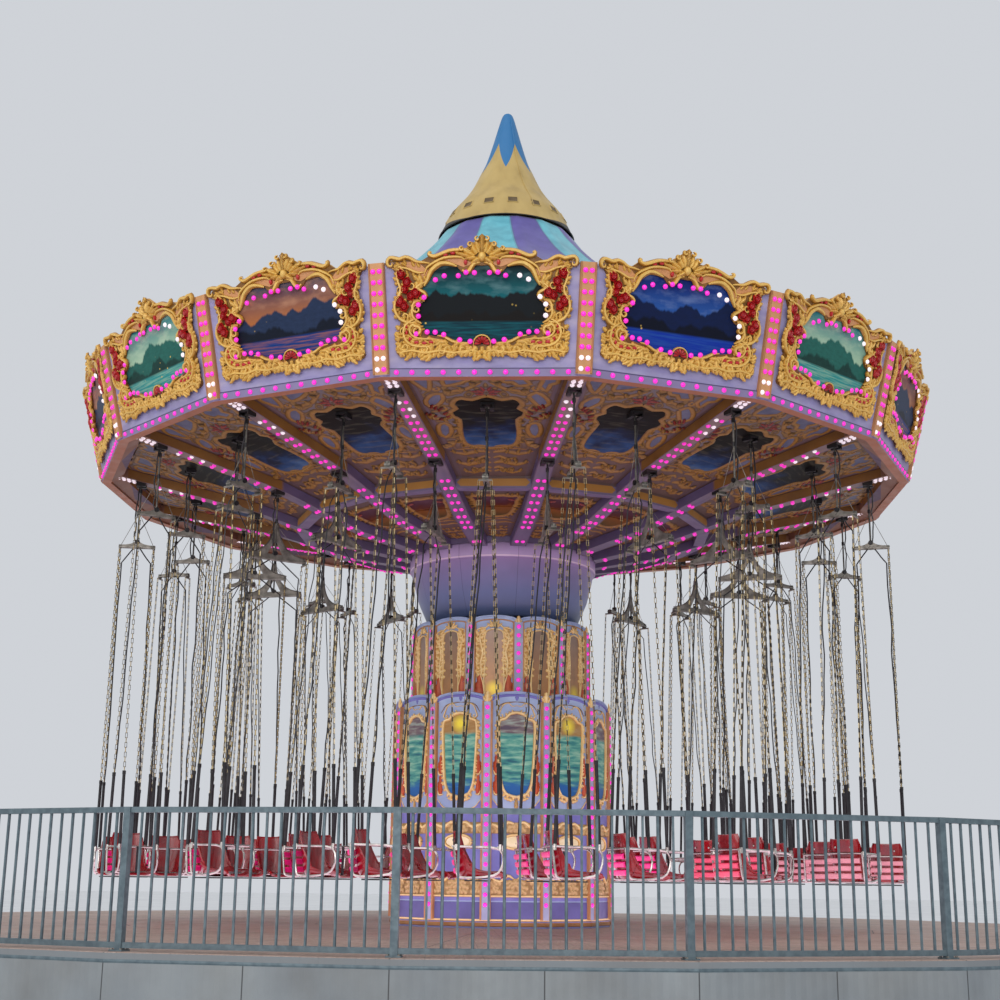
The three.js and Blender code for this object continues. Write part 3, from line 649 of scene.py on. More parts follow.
def quads(rows, width, wrap=False):
    """Faces between rows of points, each row as wide."""
    across = width if wrap else width - 1
    return [(r * width + c, r * width + (c + 1) % width, (r + 1) * width + (c + 1) % width, (r + 1) * width + c)
            for r in range(rows - 1) for c in range(across)]


def between(line, steps):
    """Points of a curve that passes through all but the first and last point of a line."""
    return [((b * 2) + (c - a) * t + (a * 2 - b * 5 + c * 4 - d) * t * t + (b * 3 - a - c * 3 + d) * t ** 3) / 2
            for a, b, c, d in zip(line, line[1:], line[2:], line[3:]) for t in [i / steps for i in range(steps)]]


def smooth(line, steps=4):
    """A curve through the points of a line."""
    line = [Vector(p) for p in line]
    return [*between([line[0] * 2 - line[1], *line, line[-1] * 2 - line[-2]], steps), line[-1]]


def mirrored(line):
    return [(-u, v) for u, v in reversed(line)]


def stroke(shape, line, width, height, finish="gold", base=0.0, ends=(0.35, 0.35), steps=3):
    """A raised moulding along a line on the face, slimmer at its ends."""
    line = smooth([(*p[:2], 0) for p in line], steps)
    points, painted_shading = [], []
    last = len(line) - 1
    for i, point in enumerate(line):
        along = (line[min(i + 1, last)] - line[max(i - 1, 0)]).normalized()
        side = Vector((-along.y, along.x, 0))
        share = i / last
        size = 1 - (1 - ends[0]) * (1 - share) ** 4 - (1 - ends[1]) * share ** 4
        # light is the painted shading: painted shade at the moulding's feet, a painted highlight along its top
        for offset, rise, light in ((0.5, 0, 0.2), (0.2, 1, 0.9), (-0.2, 1, 0.9), (-0.5, 0, 0.2)):
            points.append(point + side * offset * width * size + Vector((0, 0, base + rise * height * size)))
            painted_shading.append(light)
    faces = [face[::-1] for face in quads(len(line), 4)]
    shape.add(points, faces, finish, painted_shading)


def strokes(shape, line, width, height, finish="gold", base=0.0, ends=(0.35, 0.35), steps=3):
    """A moulding and its mirror image."""
    stroke(shape, line, width, height, finish, base, ends, steps)
    stroke(shape, mirrored(line), width, height, finish, base, ends[::-1], steps)


CURL_END = 0.3                     # a spiral's last radius against its first


def curl(centre, radius, start, turns, count=8):
    """Points of a spiral that winds inward. Angles in turns."""
    line = []
    for i in range(count + 1):
        share = i / count
        angle = (start + turns * share) * math.tau
        size = radius * (1 - (1 - CURL_END) * share)
        line.append((centre[0] + size * math.cos(angle), centre[1] + size * math.sin(angle)))
    return line


# A leaf's outline: share of its length, of its width and of its rise
LOBES = ((0, 0.45, 0.6), (0.2, 1.0, 0.9), (0.35, 0.68, 1.0), (0.55, 0.95, 0.95), (0.7, 0.5, 0.8), (0.85, 0.6, 0.6),
         (1, 0.05, 0.35))
FEW_LOBES = ((0, 0.45, 0.6), (0.25, 1.0, 1.0), (0.5, 0.62, 0.95), (0.72, 0.8, 0.8), (1, 0.05, 0.35))


def leaf(shape, foot, tip, width, finish="gold", lift=0.03, base=0.0, bend=0.0, lobes=LOBES):
    """A carved leaf with a raised middle and lobed sides."""
    foot, tip = Vector((*foot, 0)), Vector((*tip, 0))
    along = tip - foot
    side = Vector((-along.y, along.x, 0)).normalized()
    points, painted_shading = [], []
    for share, spread, rise in lobes:
        middle = foot + along * share + side * bend * share * share
        for edge in (0.5, 0, -0.5):
            up = lift * rise if edge == 0 else lift * 0.25
            points.append(middle + side * edge * width * spread + Vector((0, 0, base + up)))
            # Painted highlight along the leaf's middle, painted shade at its sides
            painted_shading.append(1.0 if edge == 0 else 0.4)
    shape.add(points, [face[::-1] for face in quads(len(lobes), 3)], finish, painted_shading)


def leaves(shape, foot, tip, width, **more):
    leaf(shape, foot, tip, width, **more)
    bend = more.pop("bend", 0.0)
    leaf(shape, (-foot[0], foot[1]), (-tip[0], tip[1]), width, bend=-bend, **more)


def fronds(shape, line, count, length, width, lean=0.6, base=0.0, side=1, finish="gold"):
    """Leaves along one side of a line, leaning forward, and their mirror images."""
    line = smooth([(*p[:2], 0) for p in line], 6)
    for i in range(count):
        at = (i + 0.5) / count * (len(line) - 1)
        point = line[int(at)]
        along = (line[min(int(at) + 1, len(line) - 1)] - line[max(int(at) - 1, 0)]).normalized()
        out = Vector((-along.y, along.x, 0)) * side
        tip = point + (out + along * lean).normalized() * length
        leaves(shape, point[:2], tip[:2], width, base=base, bend=0.25 * length * side, finish=finish,
               lobes=LOBES if finish == "gold" else FEW_LOBES)


def dome(shape, u, v, radii, height, finish, base=0.0, sides=8, rings=((1.0, 0.0), (0.92, 0.45), (0.55, 0.88))):
    """A rounded boss on the face."""
    points, painted_shading = [], []
    for share, rise in rings:
        for i in range(sides):
            angle = math.tau * i / sides
            points.append((u + radii[0] * share * math.cos(angle), v + radii[1] * share * math.sin(angle),
                           base + height * rise))
            # Painted shading, lighter the higher the point
            painted_shading.append(0.3 + 0.7 * rise)
    points.append((u, v, base + height))
    painted_shading.append(1.0)
    top = (len(rings) - 1) * sides
    faces = quads(len(rings), sides, wrap=True)
    faces += [(top + i, top + (i + 1) % sides, top + sides) for i in range(sides)]
    shape.add(points, faces, finish, painted_shading)


def lamp(shape, u, v, base=0.0, white=False):
    dome(shape, u, v, (LAMP, LAMP), LAMP * 0.8, "lamp_white" if white else "lamp_magenta", base)


def rose(shape, u, v, radius, base):
    """A rose seen from above: wavy rings of petals, with painted shade between them."""
    sides, rings = 10, 5
    points, painted_shading = [], []
    for ring, (share, rise) in enumerate(((1.0, 0.1), (0.82, 0.75), (0.62, 0.4), (0.42, 0.95), (0.22, 0.7))):
        for i in range(sides):
            angle = math.tau * i / sides
            size = radius * share * (1 + 0.14 * math.cos(5 * angle + 1.9 * ring))
            points.append((u + size * math.cos(angle), v + size * math.sin(angle), base + 0.04 * rise))
            # Painted shade on the low ring between the petals, painted highlights on the high rings
            painted_shading.append((0.35, 0.8, 0.15, 0.8, 0.35)[ring])
    points.append((u, v, base + 0.036))
    painted_shading.append(0.9)
    top = (rings - 1) * sides
    faces = quads(rings, sides, wrap=True) + [(top + i, top + (i + 1) % sides, top + sides) for i in range(sides)]
    shape.add(points, faces, "petal", painted_shading)


def slab(shape, loops, low, high, finish, painted_shading=0.5):
    """A flat plate with its holes, between two heights above the face."""
    flat = [Vector((*p, 0)) for loop in loops for p in loop]
    triangles = tessellate_polygon([[Vector((*p, 0)) for p in loop] for loop in loops])
    count = len(flat)
    up = []
    for a, b, c in triangles:
        turned = (flat[b] - flat[a]).cross(flat[c] - flat[a]).z < 0
        up.append((a, c, b) if turned else (a, b, c))
    points = [(p.x, p.y, high) for p in flat] + [(p.x, p.y, low) for p in flat]
    faces = up + [(c + count, b + count, a + count) for a, b, c in up]
    first = 0
    for number, loop in enumerate(loops):
        n = len(loop)
        area = sum(loop[i][0] * loop[(i + 1) % n][1] - loop[(i + 1) % n][0] * loop[i][1] for i in range(n))
        outward = (area > 0) == (number == 0)
        for i in range(n):
            a, b = first + i, first + (i + 1) % n
            faces.append((a, a + count, b + count, b) if outward else (b, b + count, a + count, a))
        first += n
    shape.add(points, faces, finish, painted_shading)


def frames_along(line):
    """Two directions across a line at each of its points, turning as little as they can."""
    tangents = [(line[min(i + 1, len(line) - 1)] - line[max(i - 1, 0)]).normalized() for i in range(len(line))]
    first = Vector((0, 1, 0)) if abs(tangents[0].y) < 0.8 else Vector((1, 0, 0))
    across = []
    for tangent in tangents:
        first = (first - tangent * first.dot(tangent)).normalized()
        across.append((first, tangent.cross(first)))
    return across


def tube(shape, line, radius, finish, sides=8, closed=False):
    """A round bar along a line of 3-D points."""
    line = [Vector(p) for p in line]
    points = []
    for point, (a, b) in zip(line, frames_along(line)):
        for i in range(sides):
            angle = math.tau * i / sides
            points.append(point + (a * math.cos(angle) + b * math.sin(angle)) * radius)
    faces = quads(len(line), sides, wrap=True)
    if closed:
        last = (len(line) - 1) * sides
        faces += [(last + i, last + (i + 1) % sides, (i + 1) % sides, i) for i in range(sides)]
    else:
        faces += [tuple(range(sides))[::-1], tuple(range(len(points) - sides, len(points)))]
    shape.add(points, faces, finish)


def block(shape, low, high, finish):
    """A box between two corners."""
    points = [(x, y, z) for x in (low[0], high[0]) for y in (low[1], high[1]) for z in (low[2], high[2])]
    faces = [(0, 1, 3, 2), (4, 6, 7, 5), (0, 4, 5, 1), (2, 3, 7, 6), (0, 2, 6, 4), (1, 5, 7, 3)]
    shape.add(points, faces, finish, 0.6)


def lathe(shape, profile, sides, finish):
    """A turned surface from points of radius and height."""
    turns = [math.tau * i / sides for i in range(sides)]
    points = [(r * math.cos(turn), r * math.sin(turn), z) for r, z in profile for turn in turns]
    shape.add(points, quads(len(profile), sides, wrap=True), finish)


def side_place(radius, height, turn, lean=0.0):
    """A side's outer face: x to the right, y up, z outward, from a radius and a height."""
    s, c = math.sin(lean), math.cos(lean)
    face = Matrix(((0, s, c, radius), (1, 0, 0, 0), (0, c, -s, height), (0, 0, 0, 1)))
    return Matrix.Rotation(turn, 4, "Z") @ face


def ring_places(radius, first, step, count):
    """Upright places around the axis, from an angle on."""
    return [side_place(radius, 0, first + k * step) for k in range(count)]


def under_place(foot, slope, turn):
    """An underside: x across, y outward up the slope, z down, from the axis."""
    s, c = math.sin(math.atan(slope)), math.cos(math.atan(slope))
    face = Matrix(((0, c, s, 0), (1, 0, 0, 0), (0, s, -c, foot), (0, 0, 0, 1)))
    return Matrix.Rotation(turn, 4, "Z") @ face


bay_turns = [FIRST_BAY + k * BAY for k in range(SIDES)]
rib_turns = [FIRST_RIB + k * BAY for k in range(SIDES)]
board_places = [side_place(*BOARD_FOOT, turn, BOARD_LEAN) for turn in bay_turns]
corner_places = [side_place(*CORNER_FOOT, turn, CORNER_LEAN) for turn in rib_turns]
rib_places = [[under_place(foot, slope, turn) for turn in rib_turns] for _, slope, foot in UNDERSIDE]
ceiling_places = [[under_place(foot + CEILING_LIFT, slope / FLAT, turn) for turn in bay_turns]
                  for _, slope, foot in UNDERSIDE]


# Rounding boards

OPENING = [(0, 1.165), (0.11, 1.165), (0.15, 1.1), (0.22, 1.1), (0.27, 1.16), (0.357, 1.19), (0.45, 1.19),
           (0.54, 1.12), (0.58, 1.03), (0.62, 0.95), (0.66, 0.88), (0.6, 0.83), (0.64, 0.77), (0.705, 0.73),
           (0.69, 0.59), (0.625, 0.501), (0.58, 0.43), (0.375, 0.395), (0.286, 0.342), (0, 0.325)]
OUTLINE = [(0, 1.44), (0.05, 1.38), (0.12, 1.32), (0.25, 1.335), (0.38, 1.315), (0.48, 1.265), (0.57, 1.27),
           (0.66, 1.215), (0.75, 1.235), (0.83, 1.26), (0.92, 1.225), (0.96, 1.14), (0.93, 0.99), (0.905, 0.9),
           (0.95, 0.81), (0.975, 0.72), (0.945, 0.63), (0.9, 0.56), (0.925, 0.48), (0.925, 0.33), (0.955, 0.24),
           (0.88, 0.2), (0.72, 0.215), (0.6, 0.2), (0.45, 0.215), (0.3, 0.2), (0.12, 0.225), (0, 0.195)]
FRAME_LAMPS = [(0.08, 1.084), (0.17, 1.088), (0.252, 1.053), (0.402, 1.053), (0.496, 1.011), (0.617, 0.825),
               (0.678, 0.745), (0.677, 0.625), (0.70, 0.436), (0.584, 0.456), (0.498, 0.453), (0.407, 0.428),
               (0.237, 0.372), (0.125, 0.354)]
WHITE_LAMPS = {3, 4, 5, 6, 7}      # on the right side
ROSES = [(0.893, 1.073, 0.06), (0.818, 0.985, 0.062), (0.845, 0.913, 0.052), (0.71, 0.872, 0.06),
         (0.768, 0.838, 0.055), (0.905, 0.782, 0.066), (0.853, 0.728, 0.06)]
STUDS = [(0.313, 1.297, 0.1), (0.393, 1.28, -0.3), (0.21, 1.278, 0.4), (0.175, 1.2, 1.2), (0.822, 0.52, 1.5),
         (0.822, 0.45, 1.7), (0.775, 0.385, 2.3), (0.70, 0.347, 2.8), (0.615, 0.34, 3.1), (0.54, 0.35, 3.4)]


def whole(half):
    """A closed outline from its right half."""
    return half + [(-u, v) for u, v in reversed(half) if u > 0]


def smooth_loop(loop):
    ring = [Vector((*p, 0)) for p in loop]
    return [(p.x, p.y) for p in between([ring[-1], *ring, *ring[:2]], 2)]


def plate(shape, half, low, high, finish):
    """A plate with a smooth outline, from its right half."""
    slab(shape, [smooth_loop(whole(half))], low, high, finish)


CORNICE = [(0.1, 1.2), (0.2, 1.235), (0.33, 1.245), (0.47, 1.2), (0.58, 1.12), (0.66, 1.19), (0.76, 1.21), (0.9, 1.2),
           (0.9, 1.15), (0.76, 1.1), (0.66, 1.06), (0.62, 0.98), (0.54, 1.08), (0.44, 1.16), (0.33, 1.2), (0.2, 1.15)]
# A frame's mouldings: line, width and height
RIBBONS = (
    (OPENING[4:10], 0.05, 0.03),                                                               # inner arch
    ([(0.02, 1.2), (0.09, 1.18), (0.13, 1.12), (0.17, 1.09), (0.21, 1.12)], 0.045, 0.035),
    ([(0.17, 1.205), (0.214, 1.25), (0.304, 1.258), (0.41, 1.245), (0.5, 1.205), (0.589, 1.144), (0.62, 1.06)],
     0.034, 0.035),                                                                            # outer arch
    ([(0.1, 1.31), (0.16, 1.325), (0.25, 1.332), (0.357, 1.32), (0.455, 1.28), (0.518, 1.262), (0.565, 1.285),
      (0.56, 1.31), (0.54, 1.3)], 0.042, 0.045),                                               # top scroll
    ([(0.56, 1.19), (0.62, 1.2), (0.7, 1.208), (0.76, 1.24), (0.82, 1.258), (0.88, 1.235), (0.93, 1.245),
      (0.985, 1.25), (1.012, 1.21), (1.0, 1.165), (0.965, 1.165), (0.962, 1.195)], 0.04, 0.045),   # corner curl
    ([(0.607, 1.1), (0.679, 1.09), (0.768, 1.12), (0.839, 1.144), (0.92, 1.15)], 0.032, 0.035),
    ([(0.92, 1.16), (0.952, 1.08), (0.93, 0.99), (0.9, 0.92), (0.915, 0.85), (0.955, 0.8), (0.975, 0.73),
      (0.955, 0.66), (0.902, 0.598), (0.83, 0.565), (0.75, 0.557), (0.69, 0.58)], 0.04, 0.04),
    ([(0.61, 0.99), (0.66, 0.965), (0.7, 0.93), (0.66, 0.9), (0.62, 0.88), (0.598, 0.845), (0.625, 0.815),
      (0.66, 0.83)], 0.036, 0.04),                                                             # inner curl
    ([(0.66, 0.79), (0.73, 0.77), (0.75, 0.7), (0.745, 0.63), (0.70, 0.58), (0.645, 0.55)], 0.036, 0.035),
    ([(0.69, 0.6), (0.76, 0.58), (0.835, 0.53), (0.862, 0.45), (0.83, 0.37), (0.74, 0.315), (0.6, 0.3),
      (0.48, 0.325)], 0.036, 0.04),                                                            # lower scroll
    ([(0.45, 0.375), (0.55, 0.385), (0.66, 0.385), (0.755, 0.425), (0.785, 0.49), (0.74, 0.535)]
     + curl((0.7, 0.468), 0.055, 0.2, 1.1), 0.036, 0.045),
    ([(0.48, 0.42), (0.4, 0.405), (0.32, 0.36), (0.23, 0.34), (0.12, 0.34)], 0.032, 0.03),
    ([(0.0, 0.235), (0.12, 0.262), (0.3, 0.235), (0.45, 0.26), (0.6, 0.235), (0.75, 0.262), (0.9, 0.24),
      (0.95, 0.25)], 0.034, 0.035))                                                            # foot
# Its rows of leaves: line, count, length, width, lean, lift and side
FRONDS = (([(0.03, 0.3), (0.2, 0.305), (0.4, 0.31), (0.6, 0.285), (0.8, 0.3), (0.92, 0.34)],
           12, 0.1, 0.085, 0.9, 0, -1),
          ([(0.02, 0.25), (0.3, 0.235), (0.6, 0.235), (0.93, 0.24)], 13, 0.055, 0.075, 0.9, 0.008, -1),
          ([(0.9, 0.3), (0.915, 0.4), (0.905, 0.53)], 4, 0.065, 0.075, 1.1, 0, -1),
          ([(0.93, 0.6), (0.965, 0.7), (0.95, 0.8), (0.91, 0.87)], 5, 0.05, 0.07, 1.3, 0, -1),
          ([(0.88, 0.66), (0.8, 0.64), (0.77, 0.7)], 3, 0.075, 0.05, 0.7, 0.01, 1),
          ([(0.93, 0.95), (0.945, 1.05), (0.93, 1.14)], 4, 0.045, 0.06, 1.0, 0, -1),
          ([(0.64, 1.15), (0.72, 1.16), (0.86, 1.19)], 3, 0.075, 0.045, 1.2, 0, 1),
          ([(0.64, 1.0), (0.72, 1.04), (0.84, 1.06)], 3, 0.08, 0.05, 1.0, 0, 1),
          ([(0.68, 0.52), (0.65, 0.46)], 2, 0.05, 0.04, 0.5, 0, -1))
GILT, RISE = 1.5, 1.25             # how much broader and higher a moulding is than its drawn line
# The crest's leaves: foot, tip, width and bend
CREST = (((0, 1.3), (0.0, 1.5), 0.13, 0.0), ((0.03, 1.3), (0.085, 1.43), 0.1, 0.03),
         ((0.05, 1.29), (0.15, 1.385), 0.1, 0.04), ((0.08, 1.27), (0.255, 1.335), 0.09, 0.03),
         ((0.12, 1.26), (0.3, 1.29), 0.07, 0.02), ((0.03, 1.24), (0.12, 1.18), 0.085, 0.0),
         ((0.07, 1.25), (0.19, 1.235), 0.075, 0.0), ((0.02, 1.34), (0.06, 1.4), 0.07, 0.01))


def gilded_frame():
    """One carved frame: a plate, mouldings, scrolls, leaves, roses, a shell and lamps."""
    made = Shape()

    def ribbon(line, width, height, base):
        strokes(made, line, width * GILT, height * RISE, base=base, steps=2)

    slab(made, [smooth_loop(whole(OUTLINE)), smooth_loop(whole(OPENING))], 0.002, 0.028, "gold", 0.15)
    on = 0.026                                        # the plate's face
    for band in (CORNICE, mirrored(CORNICE)):         # the smooth band of the cornice
        slab(made, [smooth_loop(band)], 0.02, 0.034, "fill", 0.6)
    for line, width, height in RIBBONS:
        ribbon(line, width, height, on)
    for line, count, length, width, lean, lift, side in FRONDS:
        fronds(made, line, count, length, width, lean, on + lift, side)
    for u, v, radius in ROSES:
        for side in (1, -1):
            rose(made, side * u, v, radius, on + 0.02)
    for u, v, turn in STUDS:
        radii = (0.036, 0.023) if abs(math.cos(turn)) > 0.7 else (0.023, 0.036)
        for side in (1, -1):
            dome(made, side * u, v, radii, 0.03, "petal", on + 0.008, 6, ((1.0, 0.0), (0.75, 0.7)))
    for centre, size in (((0.05, 1.445), 0.028), ((0.125, 1.385), 0.03), ((0.215, 1.34), 0.028)):
        ribbon(curl(centre, size, 0.3, -0.9, count=6), 0.022, 0.03, on + 0.03)
    for start, tip, width, bend in CREST:
        leaves(made, start, tip, width, lift=0.06, base=on, bend=bend)
    dome(made, 0, 1.26, (0.05, 0.06), 0.06, "gold", on)
    shell_fan(made, on)
    for i, (u, v) in enumerate(FRAME_LAMPS):
        lamp(made, u, v, 0.06, i in WHITE_LAMPS)
        lamp(made, -u, v, 0.06)
    return narrowed(made)


def narrowed(made):
    """The frame's sides drawn in a little, below its corner curls."""
    bound = 0.72
    for i, (u, v, w) in enumerate(made.points):
        if abs(u) > bound and v < 1.13:
            made.points[i] = (math.copysign(bound + (abs(u) - bound) * 0.84, u), v, w)
    return made


def holds(loop, u, v):
    """Whether a point is inside a loop."""
    found = False
    for (a, b), (c, d) in zip(loop, loop[1:] + loop[:1]):
        if (b > v) != (d > v) and u < a + (c - a) * (v - b) / (d - b):
            found = not found
    return found


SWIRLS = [(0.84, 0.3), (0.62, 0.27), (0.42, 0.26), (0.2, 0.27), (0.7, 0.46), (0.86, 0.47), (0.84, 0.62), (0.9, 0.9),
          (0.76, 0.95), (0.9, 1.12), (0.7, 0.7)]


def foliage():
    """Small leaves that turn around a frame's curls and cover the plate between them, but not its cornice."""
    made = Shape()
    for number, centre in enumerate(SWIRLS):
        turns = 1.1 if number % 2 else -1.1
        strokes(made, curl(centre, 0.05, 0.13 * number, turns, count=6), 0.034, 0.045, base=0.026, steps=2)
    outer = smooth_loop(whole([(u * 0.985, v) for u, v in OUTLINE]))
    inner = smooth_loop(whole([(u * 1.03, 0.75 + (v - 0.75) * 1.04) for u, v in OPENING]))
    pitch = 0.052
    for row in range(22):
        for column in range(20):
            u = (column + 0.5 * (row % 2) + dice.uniform(-0.25, 0.25)) * pitch + 0.01
            v = 0.21 + (row + dice.uniform(-0.25, 0.25)) * pitch * 0.9
            cornice = (v > 0.93 and u < 0.6) or (v > 1.08 and u < 0.86) or v > 1.2
            flower = any(math.hypot(u - a, v - b) < size for a, b, size in ROSES)
            flower = flower or any(math.hypot(u - a, v - b) < 0.05 for a, b in FRAME_LAMPS)
            if cornice or flower or not holds(outer, u, v) or holds(inner, u, v):
                continue
            near = min(SWIRLS, key=lambda c: math.hypot(c[0] - u, c[1] - v))
            angle = math.atan2(v - near[1], u - near[0]) + math.pi / 2 + dice.uniform(-0.5, 0.5)
            size = dice.uniform(0.06, 0.095)
            tip = (u + size * math.cos(angle), v + size * math.sin(angle))
            leaves(made, (u, v), tip, size * 0.8, lift=0.032, base=0.03, bend=0.025, lobes=FEW_LOBES)
    return narrowed(made)


def shell_fan(made, base):
    """A red shell with raised ribs and a gold rim, at the foot of the opening."""
    foot, radius, columns = 0.33, 0.082, 15
    points, painted_shading = [], []
    for ring, (share, rise) in enumerate(((0.15, 0.3), (0.6, 1.0), (1.0, 0.6))):
        for i in range(columns):
            angle = math.radians(-15 + 210 * i / (columns - 1))
            size = radius * share * (1.0 if ring < 2 or i % 2 else 0.9)
            points.append((size * math.cos(angle), foot + size * math.sin(angle),
                           base + 0.03 * rise + (0.008 if i % 2 else 0)))
            # Painted highlight on the raised ribs, painted shade in the grooves between them
            painted_shading.append(0.9 if i % 2 else 0.1)
    made.add(points, [face[::-1] for face in quads(3, columns)], "petal", painted_shading)
    radius *= 1.12
    edge = [(radius * math.cos(math.radians(a)), foot + radius * math.sin(math.radians(a)))
            for a in range(-20, 201, 20)]
    stroke(made, edge, 0.028, 0.035, base=base)


def dress_boards():
    repeated("gilded_frames", "canopy", "carved_boards", (gilded_frame(), board_places))
    repeated("gilded_foliage", "canopy", "carved_boards", (foliage(), board_places))
    panel, post, strip = Shape(), Shape(), Shape()
    plate(panel, [(u * 1.03, v + (0.012 if v > 0.7 else -0.012)) for u, v in OPENING], 0.001, 0.008, "board_view")
    repeated("board_paintings", "canopy", "carved_boards", (panel, board_places))
    length = math.hypot(BOARD_OUT, BOARD_HIGH)
    for side in (-1, 1):
        for i in range(10):
            lamp(post, side * 0.036, 1.105 - i * POST_PITCH, 0.021, i == 8 or (i == 9 and side < 0))
        stroke(post, [(side * 0.078, 0.01), (side * 0.078, length)], 0.022, 0.012, "trim_tan", 0.02, (1, 1), 1)
    for i in range(12):
        lamp(strip, -0.917 + i * 0.1668, 0.0, 0.001)
    lean = math.atan2(0.018 * FLAT, 0.095)
    strip_places = [side_place((CORNER_FOOT[0] + 0.021) * FLAT, 6.8665, turn, lean) for turn in bay_turns]
    repeated("rim_lamps", "canopy", "carved_boards", (post, corner_places), (strip, strip_places))


# Underside of the canopy

RIB_LAMPS = ([5.325 - i * 0.07 for i in range(4)] + [4.77 - i * 0.1504 for i in range(9)]
             + [3.005 - i * 0.158 for i in range(8)] + [1.45])
WHITE_RIB_LAMPS = {(0, -1), (0, 1), (1, -1), (1, 1), (2, -1), (2, 1), (3, -1), (3, 1), (4, -1), (5, 1), (6, 1)}


def dress_underside():
    rows, panels = [], []
    for part, (start, slope, _) in enumerate(UNDERSIDE):
        end = UNDERSIDE[part - 1][0] if part else math.inf
        row, panel = Shape(), Shape()
        for i, radius in enumerate(RIB_LAMPS):
            for side in (-1, 1):
                if start <= radius < end:
                    lamp(row, side * 0.04, radius * math.hypot(1, slope), 0.0, (i, side) in WHITE_RIB_LAMPS)
        (outer_ceiling, middle_ceiling, inner_ceiling)[part](panel, math.hypot(1, slope / FLAT))
        rows.append((row, rib_places[part]))
        panels.append((panel, ceiling_places[part]))
    repeated("rib_lamps", "canopy", "frame_paint", *rows)
    repeated("ceiling_ornament", "canopy", "ceiling_paint", *panels)


def laid(along):
    """How a line of points lies on a sloping panel."""
    return lambda line: [(u, v * along) for u, v in line]


PATCHES = ([(0.15, 5.0), (0.22, 5.09), (0.33, 5.03), (0.42, 5.1), (0.5, 5.0), (0.44, 4.93), (0.5, 4.84), (0.37, 4.8),
            (0.3, 4.88), (0.21, 4.88)],
           [(0.6, 4.98), (0.7, 5.06), (0.8, 4.98), (0.8, 4.86), (0.72, 4.82), (0.68, 4.7), (0.6, 4.78), (0.64, 4.9)],
           [(0.47, 4.58), (0.56, 4.66), (0.66, 4.56), (0.7, 4.42), (0.6, 4.36), (0.53, 4.46)],
           [(0.47, 3.98), (0.56, 4.0), (0.6, 3.86), (0.56, 3.7), (0.48, 3.72), (0.44, 3.86)])


def scroll(panel, line, width, ends, height=0.008, base=0.0):
    """An ochre moulding on the ceiling, and its mirror image."""
    strokes(panel, line, width, height, "ochre", base, ends, 2)


def outer_ceiling(panel, along):
    """Scrolls around a painted view, from the rim to the inner hangers."""
    lay = laid(along)
    view = lay([(0, 4.6), (0.08, 4.57), (0.17, 4.52), (0.29, 4.55), (0.37, 4.5), (0.4, 4.4), (0.36, 4.33), (0.43, 4.26),
                (0.41, 4.15), (0.34, 4.08), (0.345, 3.85), (0.33, 3.62), (0.27, 3.5), (0.12, 3.45), (0, 3.43)])
    plate(panel, view, -0.004, 0.004, "ceiling_view")
    scroll(panel, view, 0.085, (1, 1), 0.014)
    fronds(panel, view[7:13], 8, 0.085, 0.06, 0.9, 0.0, 1, "ochre")
    fronds(panel, lay([(0.02, 3.45), (0.14, 3.46), (0.27, 3.5)]), 5, 0.06, 0.05, 0.4, 0.0, -1, "ochre")
    for patch in PATCHES:
        loop = smooth_loop(lay(patch))
        for ring in (loop, mirrored(loop)):
            slab(panel, [ring], -0.003, 0.003, "patch")
            stroke(panel, [*ring[::2], ring[0]], 0.075, 0.009, "ochre", 0.0, (1, 1), 2)
    for line in ([(0.05, 5.15), (0.18, 5.17), (0.3, 5.14), (0.42, 5.19), (0.56, 5.12), (0.72, 5.15), (0.88, 5.08)],
                 [(0.05, 4.86), (0.14, 4.8), (0.24, 4.72), (0.36, 4.7), (0.44, 4.62)],
                 [(0.46, 4.02), (0.56, 4.1), (0.66, 4.12), (0.7, 4.22)], [(0.4, 3.62), (0.46, 3.5), (0.52, 3.44)]):
        scroll(panel, lay(line), 0.09, (0.2, 0.2))
        fronds(panel, lay(line), 3, 0.09, 0.08, 0.7, 0.0, 1, "ochre")
    for u, v, size in ((0.1, 4.95, 0.05), (0.56, 4.74, 0.05), (0.52, 4.32, 0.06)):
        scroll(panel, curl((u, v * along), size, 0.3, 1.0, count=5), 0.06, (0.5, 0.3))
    crest = ((0.03, 4.66, 0.1, 4.72), (0.02, 4.7, 0.06, 4.79), (0.06, 4.68, 0.17, 4.69), (0.03, 4.63, 0.13, 4.63))
    for u, v, tip_u, tip_v in crest:
        leaves(panel, (u, v * along), (tip_u, tip_v * along), 0.06, finish="wine", lift=0.015)
    fronds(panel, lay([(0.46, 4.12), (0.56, 4.28), (0.68, 4.36)]), 5, 0.09, 0.055, 0.6, 0.0, 1, "wine")
    fronds(panel, lay([(0.5, 4.1), (0.62, 4.22), (0.72, 4.26)]), 4, 0.06, 0.04, 0.6, 0.0, -1, "wine")
    for v, half in ((3.4, 0.42), (3.47, 0.3)):
        strokes(panel, lay([(0.02, v), (half * 0.5, v + 0.03), (half, v - 0.01)]), 0.05, 0.008, "ochre", 0.0)


